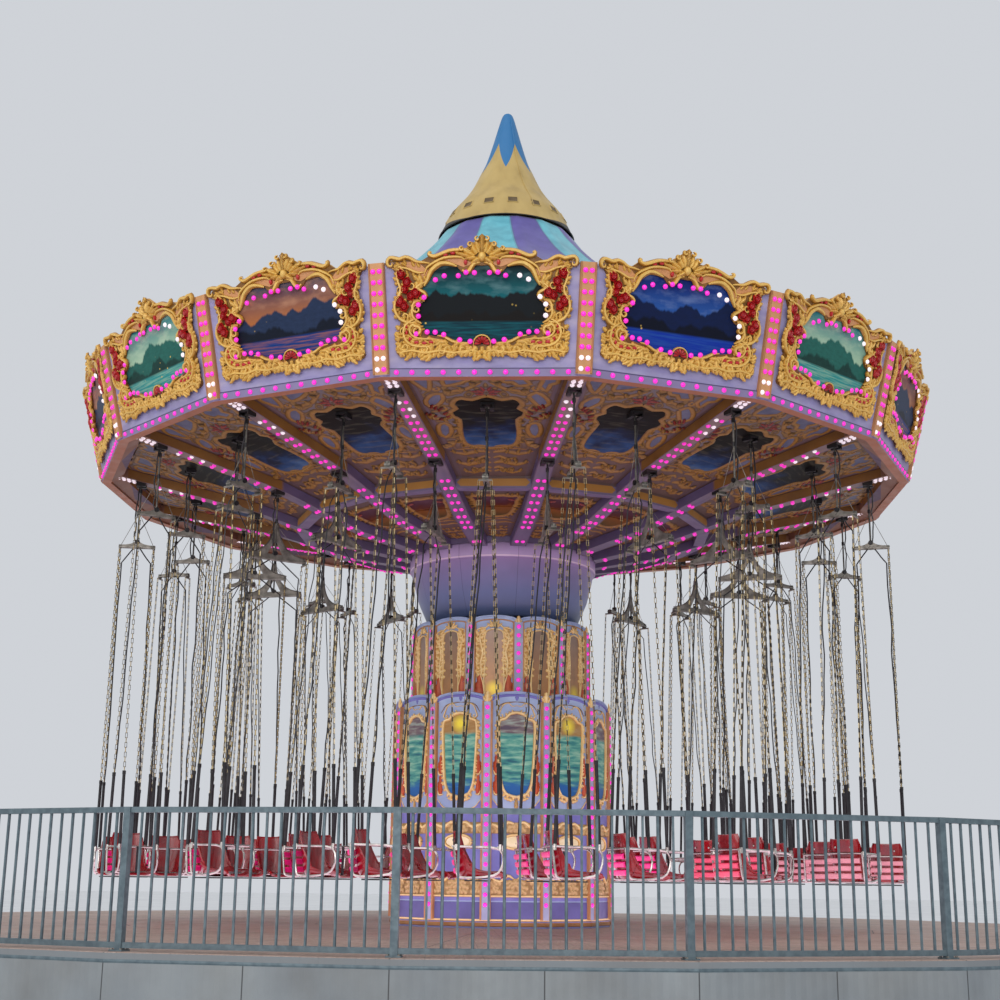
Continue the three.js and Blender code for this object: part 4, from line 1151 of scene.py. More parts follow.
def middle_ceiling(panel, along):
    """Flourishes on both sides of the cross beam, and a small framed view."""
    lay = laid(along)
    for v, half, width, side in ((3.33, 0.5, 0.1, 1), (3.22, 0.3, 0.07, -1), (3.12, 0.44, 0.11, 1),
                                 (3.01, 0.24, 0.08, -1), (2.95, 0.36, 0.07, 1)):
        line = [(0.02, v), (half * 0.3, v + 0.035), (half * 0.65, v - 0.03), (half, v + 0.02)]
        scroll(panel, lay(line), width, (0.4, 0.2))
        fronds(panel, lay([(half * 0.2, v), (half, v)]), 3, 0.08, 0.06, 0.9, 0.0, side, "ochre")
    view = lay([(0, 2.44), (0.1, 2.45), (0.2, 2.43), (0.28, 2.44), (0.31, 2.39), (0.27, 2.33), (0.27, 2.27),
                (0.24, 2.2)])
    plate(panel, view, -0.004, 0.006, "ceiling_view")
    scroll(panel, view, 0.075, (1, 1), 0.014, 0.002)
    fronds(panel, view[1:], 8, 0.07, 0.06, 0.6, 0.0, 1, "ochre")
    leaves(panel, (0.16, 2.37 * along), (0.26, 2.34 * along), 0.05, finish="wine", base=0.01, lift=0.012)


def inner_ceiling(panel, along):
    """Flourishes beside the bowl."""
    lay = laid(along)
    view = lay([(0.24, 2.2), (0.21, 2.1), (0.17, 2.01), (0.1, 1.95), (0, 1.93)])
    plate(panel, view, -0.004, 0.006, "ceiling_view")
    scroll(panel, view, 0.07, (1, 1), 0.014, 0.002)
    fronds(panel, view[:-1], 4, 0.06, 0.06, 0.6, 0.0, 1, "ochre")
    for v, half in ((1.84, 0.18), (1.74, 0.22)):
        line = [(0.0, v), (half * 0.5, v + 0.02), (half, v - 0.02)]
        scroll(panel, lay(line), 0.06, (0.5, 0.2))
    for v in (1.64, 1.56, 1.47, 1.38):
        for i in range(3):
            u = 0.02 + i * 0.05 + dice.uniform(-0.015, 0.015)
            turn, size = dice.uniform(-1.2, 1.2), dice.uniform(0.06, 0.11)
            tip = (u + size * math.sin(turn), v * along - size * math.cos(turn))
            leaves(panel, (u, v * along), tip, size * 0.7, finish="ochre", lift=0.012, lobes=FEW_LOBES)


# Mast

def drum_places(radius, corner):
    """Places of a drum's sides and of its corners."""
    return (ring_places(radius * math.cos(SECTOR / 2), corner + SECTOR / 2, SECTOR, DRUM_SIDES),
            ring_places(radius, corner, SECTOR, DRUM_SIDES))


def arched(half, low, shoulder, crown):
    """Outline of a panel with an arched top."""
    count = 9
    top = [(half * math.cos(math.pi * i / count), shoulder + (crown - shoulder) * math.sin(math.pi * i / count) ** 0.8)
           for i in range(count + 1)]
    return [(-half, low), (half, low), *top]


def arch_line(half, shoulder, crown, drop=0.0):
    return [(half * math.cos(math.radians(a)), shoulder - drop + (crown - shoulder) * math.sin(math.radians(a)) ** 0.8)
            for a in (0, 22, 45, 68, 90)]


def thicket(made, us, vs, pitch, base, finish="gold"):
    """Small leaves over a strip of one side and its mirror image."""
    lean, size = 0.9, pitch * 1.6
    rows, columns = int((vs[1] - vs[0]) / pitch), int((us[1] - us[0]) / pitch)
    for row in range(rows + 1):
        for column in range(columns + 1):
            u = us[0] + (column + 0.5 * (row % 2)) * pitch + dice.uniform(-0.2, 0.2) * pitch
            v = vs[0] + row * pitch + dice.uniform(-0.2, 0.2) * pitch
            angle = math.pi / 2 - (1 if column * 2 >= columns else -1) * lean + dice.uniform(-0.5, 0.5)
            leaves(made, (u, v), (u + size * math.cos(angle), v + size * math.sin(angle)), size * 0.95, finish=finish,
                   lift=0.022, base=base, bend=0.01, lobes=FEW_LOBES)


def drum_post(low, high, half, lip, depths, lamps):
    """A pilaster on a drum's corner: two edges as wide and proud as lip says, and a row of lamps."""
    post = Shape()
    block(post, (-half, low, depths[0]), (half, high, depths[1]), "drum_post")
    for side in (-half, half):
        block(post, (side - lip[0], low, depths[0]), (side + lip[0], high + lip[1], lip[2]), "trim_tan")
    top, pitch, count = lamps
    for i in range(count):
        lamp(post, 0, top - i * pitch, depths[1])
    return post


def clad(name, body, places, face, post):
    """A drum's cladding, a face on each side and a post on each corner, in paler gold."""
    for part in (face, post):
        part.finish = ["pale_gold" if finish == "gold" else finish for finish in part.finish]
    repeated(name, body, "mast_cladding", *zip((face, post), places))


def dress_lower_drum():
    low, half = 1.16, LOWER_RADIUS * math.sin(SECTOR / 2)
    made = Shape()
    slab(made, [arched(half, low, LOWER_TOP, 3.974)], 0.001, 0.02, "drum_pale")
    slab(made, [[(-half, 1.38), (half, 1.38), (half, 2.66), (0.2, 2.5), (0, 2.46), (-0.2, 2.5), (-half, 2.66)]],
         0.015, 0.024, "drum_violet")
    # The lowest band in the darker violet: painted shade at the drum's foot
    slab(made, [[(-half, low), (half, low), (half, 1.364), (-half, 1.364)]], 0.015, 0.026, "drum_foot")
    strokes(made, arch_line(half - 0.015, LOWER_TOP, 3.974, 0.05)[::-1], 0.035, 0.012, "drum_edge", 0.02, (1, 1))
    strokes(made, arch_line(half - 0.02, LOWER_TOP, 3.974, 0.012)[::-1], 0.024, 0.02, "drum_pale", 0.02, (1, 1))
    leaf(made, (0, 3.93), (0, 3.85), 0.06, "drum_edge", 0.012, 0.02)
    view = [(0, 3.7), (0.09, 3.68), (0.15, 3.62), (0.215, 3.6), (0.235, 3.5), (0.23, 3.3), (0.22, 3.1), (0.21, 2.95),
            (0.19, 2.8), (0.13, 2.68), (0, 2.64)]
    plate(made, view, 0.018, 0.026, "drum_view")
    strokes(made, view, 0.045, 0.03, "gold", 0.02, (1, 1), 2)
    fronds(made, view[3:], 15, 0.055, 0.055, 0.9, 0.018, 1)
    brow = [(0.0, 3.79), (0.06, 3.78), (0.11, 3.82), (0.18, 3.79), (0.22, 3.7)]
    strokes(made, brow + curl((0.2, 3.66), 0.035, 0.1, -0.9), 0.022, 0.02, "gold", 0.02)
    strokes(made, [(0.0, 3.835), (0.08, 3.83), (0.2, 3.8), (0.27, 3.7)], 0.016, 0.015, "ochre", 0.02)
    fronds(made, [(0.235, 3.55), (0.235, 3.2), (0.215, 2.75)], 8, 0.05, 0.045, 0.7, 0.02, 1)
    fronds(made, [(0.02, 3.7), (0.14, 3.64)], 3, 0.05, 0.04, 0.3, 0.02, 1)
    for v in (3.05, 2.8):
        leaves(made, (0.255, v - 0.12), (0.262, v + 0.12), 0.07, finish="flame", base=0.022)
        leaves(made, (0.275, v - 0.1), (0.29, v + 0.03), 0.04, finish="flame", base=0.02)
        strokes(made, [(0.22, v - 0.12), (0.27, v - 0.13), (0.295, v - 0.08)], 0.03, 0.03, "gold", 0.02)
    leaves(made, (0.05, 2.6), (0.16, 2.63), 0.05, base=0.02)
    leaves(made, (0.0, 2.5), (0.0, 2.62), 0.06, base=0.02)
    strokes(made, [(0.0, 2.44), (0.1, 2.48), (0.22, 2.52), (0.3, 2.62)], 0.02, 0.015, "gold", 0.02)
    strokes(made, [(0.0, 2.3), (0.1, 2.33), (0.2, 2.27), (0.3, 2.3), (0.34, 2.24)], 0.06, 0.03, "gold", 0.022)
    # These bands and the leaves over them take the darker gold: painted shade low on the drum
    for foot, top in ((2.19, 2.33), (1.44, 1.63)):
        slab(made, [[(-0.34, foot), (0.34, foot), (0.34, top), (-0.34, top)]], 0.02, 0.028, "band_gold", 0.35)
    thicket(made, (0.02, 0.33), (2.21, 2.28), 0.054, 0.026, finish="band_gold")
    # The oval boss in bright cream: a painted reflection of the sun
    dome(made, 0, 2.09, (0.17, 0.075), 0.02, "cream", 0.022, 14, ((1.0, 0.0), (0.95, 0.6), (0.7, 0.95)))
    stroke(made, [(0.185 * math.cos(a), 2.09 + 0.088 * math.sin(a)) for a in [math.tau * i / 12 for i in range(13)]],
           0.035, 0.03, "gold", 0.022, (1, 1), 2)
    strokes(made, [(0.02, 1.64), (0.1, 1.68), (0.2, 1.61), (0.34, 1.67)], 0.05, 0.03, "gold", 0.022)
    # The darker gold again: painted shade on the leaves of the lowest band
    thicket(made, (0.02, 0.33), (1.47, 1.58), 0.054, 0.026, finish="band_gold")
    strokes(made, [(0.0, 1.435), (0.35, 1.435)], 0.03, 0.02, "gold", 0.022, (1, 1), 1)
    strokes(made, [(0.0, 1.15), (0.385, 1.15)], 0.035, 0.02, "gold", 0.012, (1, 1), 1)
    strokes(made, [(0.0, 1.095), (0.39, 1.095)], 0.075, 0.03, "trim_tan", 0.012, (1, 1), 1)
    post = drum_post(1.15, 3.83, 0.055, (0.012, 0.01, 0.05), (-0.03, 0.045), (3.76, 0.1215, 21))
    leaf(post, (0, 3.83), (0, 3.97), 0.1, base=0.02, lift=0.04)
    leaves(post, (0.02, 3.83), (0.06, 3.9), 0.05, base=0.02)
    clad("lower_drum_cladding", "base", drum_places(LOWER_RADIUS, LOWER_CORNER), made, post)


def dress_upper_drum():
    low, half, crown, valley = 3.865, UPPER_RADIUS * math.sin(SECTOR / 2), 5.0, 4.915
    made = Shape()
    slab(made, [arched(half, low, valley, crown)], 0.001, 0.018, "drum_pale")
    strokes(made, arch_line(half - 0.012, valley, crown, 0.014)[::-1], 0.026, 0.018, "drum_pale", 0.016, (1, 1))
    strokes(made, arch_line(half - 0.045, valley - 0.05, crown - 0.06)[::-1], 0.02, 0.014, "trim_tan", 0.016, (1, 1))
    mirror = [(0, 4.815), (0.07, 4.8), (0.115, 4.76), (0.13, 4.6), (0.115, 4.4), (0.13, 4.2), (0.125, 4.0),
              (0.09, 3.93), (0, 3.92)]
    plate(made, mirror, 0.014, 0.024, "mirror")
    strokes(made, mirror, 0.026, 0.025, "gold", 0.016, (1, 1), 2)
    strokes(made, [(0.15, 4.78), (0.19, 4.72), (0.175, 4.6), (0.15, 4.5), (0.175, 4.38), (0.165, 4.24), (0.18, 4.16)],
            0.045, 0.03, "gold", 0.016)
    fronds(made, [(0.17, 4.74), (0.18, 4.5), (0.175, 4.22)], 6, 0.055, 0.045, 0.6, 0.016, 1)
    fronds(made, [(0.15, 4.2), (0.14, 4.5), (0.15, 4.72)], 5, 0.04, 0.035, 0.7, 0.018, 1)
    strokes(made, [(0.0, 4.875), (0.06, 4.87), (0.12, 4.83), (0.18, 4.82), (0.24, 4.78), (0.255, 4.6)],
            0.026, 0.022, "gold", 0.016)
    for tip, width in (((0, 4.95), 0.07), ((0.06, 4.925), 0.05), ((0.1, 4.885), 0.045)):
        leaves(made, (tip[0] * 0.3, 4.84), tip, width, base=0.02)
    backing = [(0.135, 4.17), (0.235, 4.17), (0.235, 4.62), (0.19, 4.84), (0.135, 4.84)]
    for outline in (backing, mirrored(backing)):
        slab(made, [outline], 0.014, 0.022, "gold", 0.35)
    thicket(made, (0.155, 0.22), (4.2, 4.8), 0.044, 0.02)
    leaves(made, (0.185, 3.94), (0.2, 4.21), 0.13, finish="flame", base=0.02, lift=0.035, bend=0.015)
    leaves(made, (0.24, 3.94), (0.26, 4.1), 0.07, finish="flame", base=0.016, bend=-0.01)
    strokes(made, [(0.13, 3.96), (0.14, 4.08), (0.185, 4.24)], 0.03, 0.03, "gold", 0.018)
    post = drum_post(low, 4.9, 0.064, (0.007, 0.005, 0.043), (-0.04, 0.04), (4.84, POST_PITCH, 9))
    leaf(post, (0, 4.88), (0, 4.985), 0.08, base=0.015, lift=0.035)
    leaves(post, (0.015, 4.88), (0.045, 4.93), 0.04, base=0.015)
    clad("upper_drum_cladding", "mast", drum_places(UPPER_RADIUS, UPPER_CORNER), made, post)


def dress_bowl():
    skin, folds, rim = 0.004, 20, 1.2935
    profile = [(0.6, 5.02), (1.0, 5.02), (1.02, 5.03), (1.11, 5.23), (1.165, 5.36), (1.2, 5.49), (1.232, 5.62),
               (1.255, 5.74), (1.262, 5.752), (1.286, 5.758), (1.289, 5.775), (1.289, 5.94), (1.28, 5.9485),
               (1.24, 5.9485)]
    shell = Shape()
    lathe(shell, [(r + skin, z) for r, z in profile], 80, "bowl")
    for i in range(folds):
        turn = math.tau * (i + 0.5) / folds
        x, y = rim * math.cos(turn), rim * math.sin(turn)
        tube(shell, [(x, y, 5.775), (x, y, 5.94)], 0.004, "bowl", 5)
    shell.piece("bowl_skin", "tilt_head", "bowl_paint", 60)


# Roof

def smooth_profile(points, steps):
    return [(p.x, p.y) for p in smooth([(*p, 0) for p in points], steps)]


def dress_roof():
    outside = [(5.7, 7.94), (4.1, 8.56), (2.7, 9.27), (1.75, 9.94), (1.25, 10.43), (1.01, 10.74), (0.9, 10.82)]
    profile = smooth_profile(outside, 5)
    cloth = Shape()
    per_bay, points = 8, []
    for row, (radius, height) in enumerate(profile):
        tight = row / (len(profile) - 1)
        for k in range(SIDES):
            a = Vector((math.cos(rib_turns[k]), math.sin(rib_turns[k]), 0)) * radius
            b = Vector((math.cos(rib_turns[k] + BAY), math.sin(rib_turns[k] + BAY), 0)) * radius
            for i in range(per_bay):
                t = i / per_bay
                sag = 4 * t * (1 - t) * 0.05 * (1 - tight) * math.sin(math.pi * min(1.0, tight * 1.4 + 0.08))
                point = a.lerp(b, t)
                point -= point.normalized() * sag
                points.append((point.x, point.y, height - sag * 1.2 - 0.004))
    cloth.add(points, quads(len(profile), SIDES * per_bay, wrap=True), "roof")
    roof = cloth.piece("roof_cloth", "canopy", "roof_cloth", 60)
    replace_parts(roof, "roof_canvas")


def dress_cap():
    outside = [(0.999, 10.805), (0.933, 10.944), (0.863, 11.099), (0.776, 11.224), (0.652, 11.38), (0.543, 11.542),
               (0.463, 11.70), (0.396, 11.852), (0.325, 12.008), (0.272, 12.166), (0.225, 12.328), (0.181, 12.487),
               (0.138, 12.646), (0.08, 12.836), (0.03, 12.885), (0.0, 12.893)]
    curve = smooth_profile(outside, 3)
    hem = [(0.985, 10.79), (1.003, 10.782), (1.009, 10.796), (0.999, 10.805)]
    inside = [(0.37, 11.85), (0.62, 11.37), (0.84, 11.08), (0.965, 10.8)]
    cap = Shape()
    lathe(cap, [*inside, *hem, *curve[1:]], 60, "cap")
    vent = Shape()
    block(vent, (-0.065, -0.05, -0.006), (0.065, 0.05, 0.006), "vent")
    for line in ([(-0.072, -0.055), (0.072, -0.055)], [(-0.072, 0.055), (0.072, 0.055)],
                 [(-0.07, -0.055), (-0.07, 0.055)], [(0.07, -0.055), (0.07, 0.055)]):
        stroke(vent, line, 0.014, 0.012, "cap", -0.002, (1, 1), 1)
    lean = -math.atan2(0.078, 0.14)
    cap.repeat(vent, [side_place(0.874, 11.07, math.radians(-84.6 + i * 360 / SIDES), lean) for i in range(SIDES)])
    turn = math.radians(-65)
    seam = [((r + 0.004) * math.cos(turn), (r + 0.004) * math.sin(turn), z) for r, z in curve[4::3]]
    tube(cap, seam[:-2], 0.009, "cap", 5)
    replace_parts(cap.piece("cap_skin", "canopy", "cap_paint", 50), "roof_cap")


# Seats

def link(shape, middle, along, across, half_length, finish):
    """A chain link: four bars of three sides."""
    half_width, wire = 0.0125, 0.0058
    through = along.cross(across)
    ring = [(0.85, 0.85), (0.85, -0.85), (-0.85, -0.85), (-0.85, 0.85)]
    points = []
    for a, b in ring:
        centre = middle + across * a * half_width + along * b * half_length
        out = (across * a * 0.8 + along * b).normalized()
        for angle in (0.0, math.tau / 3, -math.tau / 3):
            points.append(centre + out * math.cos(angle) * wire + through * math.sin(angle) * wire)
    shape.add(points, quads(4, 3, wrap=True) + [(9 + i, 9 + (i + 1) % 3, (i + 1) % 3, i) for i in range(3)], finish)


def chain(shape, start, end):
    start, end = Vector(start), Vector(end)
    count = round((end - start).length / LINK)
    along = (end - start).normalized()
    sideways = along.cross(Vector((0, 1, 0))).normalized()
    forward = along.cross(sideways)
    pitch = (end - start).length / count
    for i in range(count):
        middle = start + along * pitch * (i + 0.5)
        across = sideways + forward * 0.3 if i % 2 else forward - sideways * 0.3
        # Every other link takes the shaded copy: painted shade and painted highlight in turn along the chain
        link(shape, middle, along, across.normalized(), pitch / 2 + 0.004, "chain_dark" if i % 2 else "chain")


def wander(start, end, count, swing, offset=(0, 0, 0)):
    """A cable's line between two points, wandering a little."""
    start, end = Vector(start), Vector(end)
    line = [start]
    for i in range(1, count):
        point = start.lerp(end, i / count) + Vector(offset)
        line.append(point + Vector((dice.uniform(-swing, swing), dice.uniform(-swing, swing), 0)))
    return smooth([*line, end], 2)


def bucket(shape, middle, half, level):
    """A moulded bucket: back, pan and raised wings, two skins and a rolled rim."""
    path = smooth([(-0.285, 0, level(BACK_TOP)), (-0.262, 0, level(1.98)), (-0.24, 0, level(1.83)),
                   (-0.222, 0, level(1.70)), (-0.17, 0, level(1.652)), (-0.05, 0, level(1.645)), (0.1, 0, level(1.655)),
                   (0.2, 0, level(1.665)), (0.222, 0, level(1.645))], 2)
    count, columns = len(path), 11
    rows = []
    for i, point in enumerate(path):
        share = i / (count - 1)
        along = (path[min(i + 1, count - 1)] - path[max(i - 1, 0)]).normalized()
        inward = Vector((-along.z, 0, along.x))          # in the path's own plane: x is the seat's y
        round_top = min(1.0, 0.86 + 1.75 * share)
        round_front = 1.0 if share < 0.85 else 1.0 - (share - 0.85) * 0.9
        wing = 0.05 + 0.12 * math.exp(-((share - 0.42) / 0.2) ** 2)
        row = []
        for j in range(columns):
            t = -1 + 2 * j / (columns - 1)
            rise = wing * abs(t) ** 3.5
            width = half * (0.96 - 0.06 * abs(t) ** 4) * round_top * round_front
            spot = point + inward * rise
            row.append((Vector((middle + t * width, spot.x, spot.z)), Vector((0, inward.x, inward.z))))
        rows.append(row)
    skins = [[spot + inward * thick for row in rows for spot, inward in row] for thick in (0.0, -0.013)]
    total = count * columns
    faces = [face[::-1] for face in quads(count, columns)]
    faces += [tuple(total + i for i in face) for face in quads(count, columns)]
    ring = [*range(columns), *[r * columns + columns - 1 for r in range(1, count)],
            *[(count - 1) * columns + c for c in range(columns - 2, -1, -1)],
            *[r * columns for r in range(count - 2, 0, -1)]]
    faces += [(a, b, b + total, a + total) for a, b in zip(ring, ring[1:] + ring[:1])]
    shape.add(skins[0] + skins[1], faces, "seat_red")
    rim = [skins[0][i].lerp(skins[1][i], 0.5) for i in ring]
    tube(shape, rim, 0.011, "seat_red", 5, closed=True)


def yoke(shape, half, double):
    """The beam that spreads the chains."""
    hanger = Shape()
    if double:
        edge = [(0.014, -0.38), (0.022, -0.46), (0.045, -0.55), (0.085, -0.64), (0.15, -0.72), (0.26, -0.79),
                (0.425, -0.832), (0.425, -0.868), (0.2, -0.872), (0, -0.872)]
        slab(hanger, [whole(edge), [(0, -0.61), (0.105, -0.8), (-0.105, -0.8)]], -0.007, 0.007, "steel")
        strokes(hanger, edge[:7], 0.03, 0.02, "steel", -0.01, (1, 1), 2)
    else:
        edge = [(0, -0.745), (0.02, -0.765), (0.04, -0.795), (0.09, -0.82), (0.16, -0.832), (0.24, -0.835),
                (0.245, -0.858), (0.15, -0.872), (0, -0.888)]
        slab(hanger, [whole(edge)], -0.008, 0.008, "steel")
    # The plate stands across the seat: its face looks forward
    shape.repeat(hanger, [Matrix(((1, 0, 0, 0), (0, 0, -1, 0), (0, 1, 0, 0), (0, 0, 0, 1)))])
    block(shape, (-half, -0.035, YOKE_FOOT - 0.028), (half, 0.035, YOKE_FOOT - 0.012), "steel")
    for side in (-1, 1):
        x = side * (half - CHAIN_INSET)
        block(shape, (x - 0.014, -0.03, YOKE_FOOT - 0.045), (x + 0.014, 0.03, YOKE_FOOT + 0.012), "rod")
        tube(shape, [(x, -0.075, YOKE_FOOT - 0.055), (x, 0.075, YOKE_FOOT - 0.055)], 0.012, "steel", 6)
        tube(shape, [(x, 0, YOKE_FOOT - 0.01), (0.013 * side, 0, -0.42)], 0.0035, "steel", 4)
    tube(shape, [(0, -0.03, -0.79), (0, 0.03, -0.79)], 0.03, "dark", 8)


def slat(shape, middle, half, y, low, finish):
    """A bent slat across the back: two skins of four rows of five points."""
    rows = [(middle + t * half * 0.97, y - (0.0 if z in (0.0, SLAT) else 0.012) - z * 0.19 + 0.006 * t * t, low + z)
            for z in (0.0, 0.01, SLAT - 0.01, SLAT) for t in (-1, -0.5, 0, 0.5, 1)]
    front = [(x, y + 0.018, z) for x, y, z in rows]
    back = [tuple(20 + i for i in face[::-1]) for face in quads(4, 5)]
    ring = [0, 1, 2, 3, 4, 9, 14, 19, 18, 17, 16, 15, 10, 5]
    edge = [(b, a, a + 20, b + 20) for a, b in zip(ring, ring[1:] + ring[:1])]
    shape.add(rows + front, quads(4, 5) + back + edge, finish)


def seat(pivot, half, double, lamp_lit_slats):
    """One hanging seat, from the pin in its head down to the pan."""
    made = Shape()
    level = lambda z: z - pivot
    arm = level(ARM_HEIGHT)
    side = half - 0.012
    yoke_half = 0.425 if double else 0.24
    tube(made, [(0, -0.055, 0), (0, 0.055, 0)], 0.0075, "steel", 8)
    tube(made, [(0, 0, 0.006), (0, 0, -ROD_LENGTH)], 0.012, "rod", 8)
    for z in (-0.06, -0.34):
        tube(made, [(0, 0, z), (0, 0, z - 0.05)], 0.02, "dark", 8)
    tube(made, wander((0.018, 0.0, -0.03), (0.02, 0.012, -0.8), 9, 0.012, (0.022, 0.0, 0)), 0.009, "cable", 5)
    yoke(made, yoke_half, double)
    chain_top, sleeve_top = YOKE_FOOT - 0.06, arm + SLEEVE
    for x in (-side, side):
        top_x = math.copysign(yoke_half - CHAIN_INSET, x)
        for end in ARM_ENDS:
            start = Vector((top_x, 0.07 if end > 0 else -0.07, chain_top))
            stop = Vector((x, end, arm))
            share = (chain_top - sleeve_top) / (chain_top - arm)
            joint = start.lerp(stop, share)
            if end < 0:
                rear = joint
            chain(made, start, joint)
            tube(made, [joint, start.lerp(stop, share + 0.02), stop], 0.0185, "rubber", 8)
            tube(made, [joint + Vector((0, 0, 0.012)), joint - Vector((0, 0, 0.03))], 0.0215, "dark", 8)
        knee = Vector((top_x * 0.86, -0.02, chain_top - 0.17))
        line = wander((0.0, 0.0, -0.82), knee, 3, 0.008)
        line += wander(knee, rear - Vector((0, 0, 0.02)), 10, 0.014)[1:]
        tube(made, line, 0.0085, "cable", 4)
    for x in (-side, side):
        loop = smooth([(x, -0.275, arm + 0.01), (x, -0.1, arm + 0.004), (x, 0.12, arm), (x, 0.215, arm - 0.03),
                       (x, 0.244, arm - 0.12), (x, 0.22, arm - 0.215), (x, 0.15, arm - 0.28), (x, -0.05, arm - 0.305),
                       (x, -0.2, arm - 0.30), (x, -0.236, arm - 0.26), (x, -0.256, arm - 0.13)], 2)
        tube(made, [*loop, loop[0]], CHROME, "chrome", 7)
        for end in ARM_ENDS:
            tube(made, [(x, end, arm + 0.03), (x, end, arm - 0.03)], 0.02, "chrome", 8)
    for y, z in ((-0.285, arm + 0.008), (0.19, arm), (-0.19, arm - 0.305), (0.13, arm - 0.285)):
        tube(made, [(-side, y, z), (side, y, z)], CHROME, "chrome", 8)
    block(made, (-0.0175, 0.196, arm - 0.29), (0.0175, 0.208, arm), "rubber")
    for middle in (-0.203, 0.203) if double else (0.0,):
        width = 0.185 if double else side - 0.016
        bucket(made, middle, width, level)
        for i in range(3):
            slat(made, middle, width, -0.262 - i * 0.0155, level(SLAT_FOOT + i * SLAT_PITCH), lamp_lit_slats)
        for x in (-0.09, 0.09):
            screw = Shape()
            dome(screw, 0, 0, (0.012, 0.012), 0.006, "chrome", 0.0, 8, ((1.0, 0.0), (0.7, 0.7)))
            tilted = Matrix.Rotation(math.pi / 2 + 0.1, 4, "X")
            made.repeat(screw, [Matrix.Translation((middle + x, -0.292, level(2.03))) @ tilted])
        block(made, (middle - width * 0.8, -0.16, level(1.612)), (middle + width * 0.8, 0.1, level(1.626)), "rubber")
    return made


def dress_seats():
    meshes = {}
    for joint in frame["joints"]:
        name = joint["child"]
        if not name.startswith("seat_"):
            continue
        row = name.split("_")[1]
        across = joint["pos_m"][0]
        # The slats' paint, by where the seat hangs: painted light of the pink lamps, strongest on the left
        lamp_lit_slats = "slat_pink" if across < ROSE_GLOW_FROM else "slat_rose" if across < PALE_GLOW_FROM else "slat_pale"
        if (row, lamp_lit_slats) not in meshes:
            double = row == "inner"
            made = seat(joint["pos_m"][2], 0.42 if double else 0.235, double, lamp_lit_slats)
            meshes[row, lamp_lit_slats] = made.mesh("seat_" + row)
        turn = math.atan2(joint["axis"][0], -joint["axis"][1])
        place = Matrix.Translation(joint["pos_m"]) @ Matrix.Rotation(turn, 4, "Z")
        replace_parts(put(name + "_dressed", meshes[row, lamp_lit_slats], name, place), name)


# Deck and fence

def dress_deck():
    step = math.tau / DECK_SIDES
    half = FENCE_RADIUS * math.sin(step / 2)
    bay, foot, edge = Shape(), Shape(), Shape()
    for i in range(FENCE_BARS):
        u = -half + (2 * i + 1) * 2 * half / (2 * FENCE_BARS + 1)
        tube(bay, [(u, FENCE_FOOT, 0), (u, FENCE_TOP, 0)], 0.0125, "galvanised", 6)
    block(foot, (-0.06, DECK_TOP + 0.0005, -0.06), (0.06, DECK_TOP + 0.012, 0.06), "galvanised")
    for x in (-0.044, 0.044):
        for z in (-0.044, 0.044):
            block(foot, (x - 0.009, DECK_TOP + 0.012, z - 0.009), (x + 0.009, DECK_TOP + 0.022, z + 0.009), "steel")
    repeated("fence_bars", "base", "fence_steel",
             (bay, ring_places(FENCE_RADIUS * math.cos(step / 2), DECK_CORNER + step / 2, step, FENCE_BAYS)),
             (foot, ring_places(FENCE_RADIUS, DECK_CORNER, step, FENCE_BAYS + 1)))
    rim_half = DECK_RADIUS * math.sin(step / 2)
    stroke(edge, [(-rim_half, 0.985), (rim_half, 0.985)], 0.03, 0.0045, "galvanised", -0.0005, (1, 1), 1)
    repeated("deck_trim", "base", "deck_plate",
             (edge, ring_places(DECK_RADIUS * math.cos(step / 2), DECK_CORNER + step / 2, step, DECK_SIDES)))


# CAD nodes keep their shape and get their paint

def paint_nodes():
    looks = {"boarding_deck": "deck", "deck_skirt": "skirt", "centre_foundation": "concrete",
             "safety_fence": "galvanised", "lower_drum": "lower_drum", "upper_drum": "upper_drum", "bowl": "bowl",
             "canopy_frame": "canopy_frame", "ceiling_panels": "ceiling", "rounding_boards": "boards"}
    for node, look in looks.items():
        data = frame["nodes"][node].data
        data.materials.clear()
        data.materials.append(LOOKS[look])


# Studio

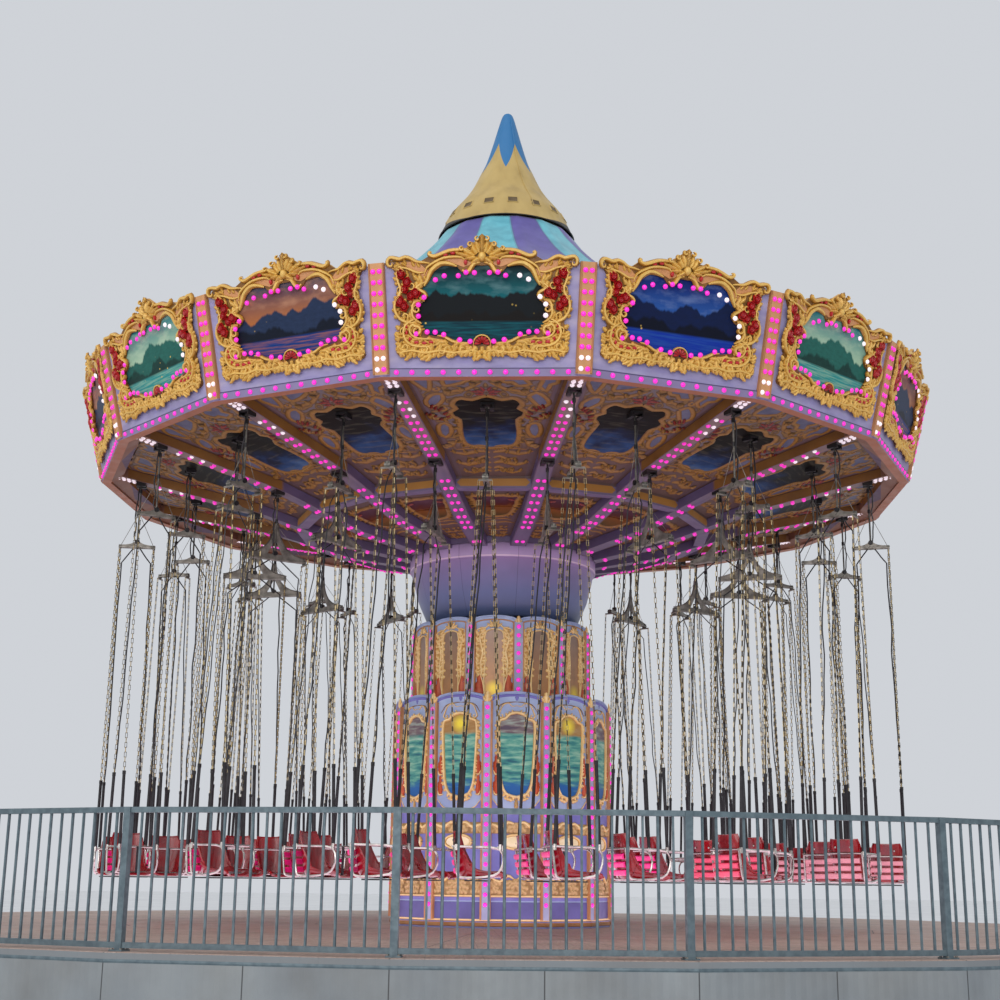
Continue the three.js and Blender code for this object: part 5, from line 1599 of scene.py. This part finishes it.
def add_light(name, kind, place, aim, energy, colour, spread):
    """A sun, spread over an angle, or a disc, spread over a size."""
    data = bpy.data.lights.new(name, kind)
    data.energy, data.color = energy, colour
    if kind == "SUN":
        data.angle = spread
    else:
        data.shape, data.size = "DISK", spread
    lamp_object = bpy.data.objects.new(name, data)
    bpy.context.scene.collection.objects.link(lamp_object)
    lamp_object.location = place
    lamp_object.rotation_euler = (Vector(aim) - Vector(place)).to_track_quat("-Z", "Y").to_euler()
    lamp_object.visible_camera = False


def make_studio():
    scene = bpy.context.scene
    scene.view_settings.view_transform = "Standard"
    floor, far = Shape(), 150.0
    floor.add([(-far, -far, 0), (far, -far, 0), (far, far, 0), (-far, far, 0)], [(0, 1, 2, 3)], "floor")
    piece = bpy.data.objects.new("floor", floor.mesh("floor"))
    scene.collection.objects.link(piece)
    piece.location.z = -0.002
    world = bpy.data.worlds.new("studio")
    scene.world = world
    world.use_nodes = True
    sky = world.node_tree.nodes["Background"]
    sky.inputs[0].default_value = (0.80, 0.83, 0.88, 1)
    sky.inputs[1].default_value = 0.78
    add_light("key", "SUN", (-10, -24, 14), (0, 0, 5), 1.2, (1.0, 0.96, 0.91), 1.5)
    add_light("low_front", "SUN", (-3, -24, 6.4), (0, 0, 6), 0.74, (1.0, 0.95, 0.98), 0.8)
    add_light("under_canopy", "AREA", (0, -1.0, 1.12), (0, -1.0, 7), 420, (0.98, 0.74, 0.92), 12)

    data = bpy.data.cameras.new("camera")
    data.sensor_width = 36
    data.lens = FOCAL * data.sensor_width / 1000
    data.clip_end = 400
    camera = bpy.data.objects.new("camera", data)
    scene.collection.objects.link(camera)
    look = Matrix.Rotation(math.pi / 2 + PITCH, 4, "X") @ Matrix.Rotation(ROLL, 4, "Z")
    camera.matrix_world = Matrix.Translation(EYE) @ look
    scene.camera = camera


plain("floor", "#dfe1e2", "#d6d8da", 0.3, (0.6, 0.8))
for make in (make_trim_paints, make_seat_paints, make_board_paints, make_drum_paints, make_canopy_paints,
             make_deck_paints, paint_nodes, make_studio, dress_boards, dress_underside, dress_lower_drum,
             dress_upper_drum, dress_bowl, dress_roof, dress_cap, dress_seats, dress_deck):
    make()
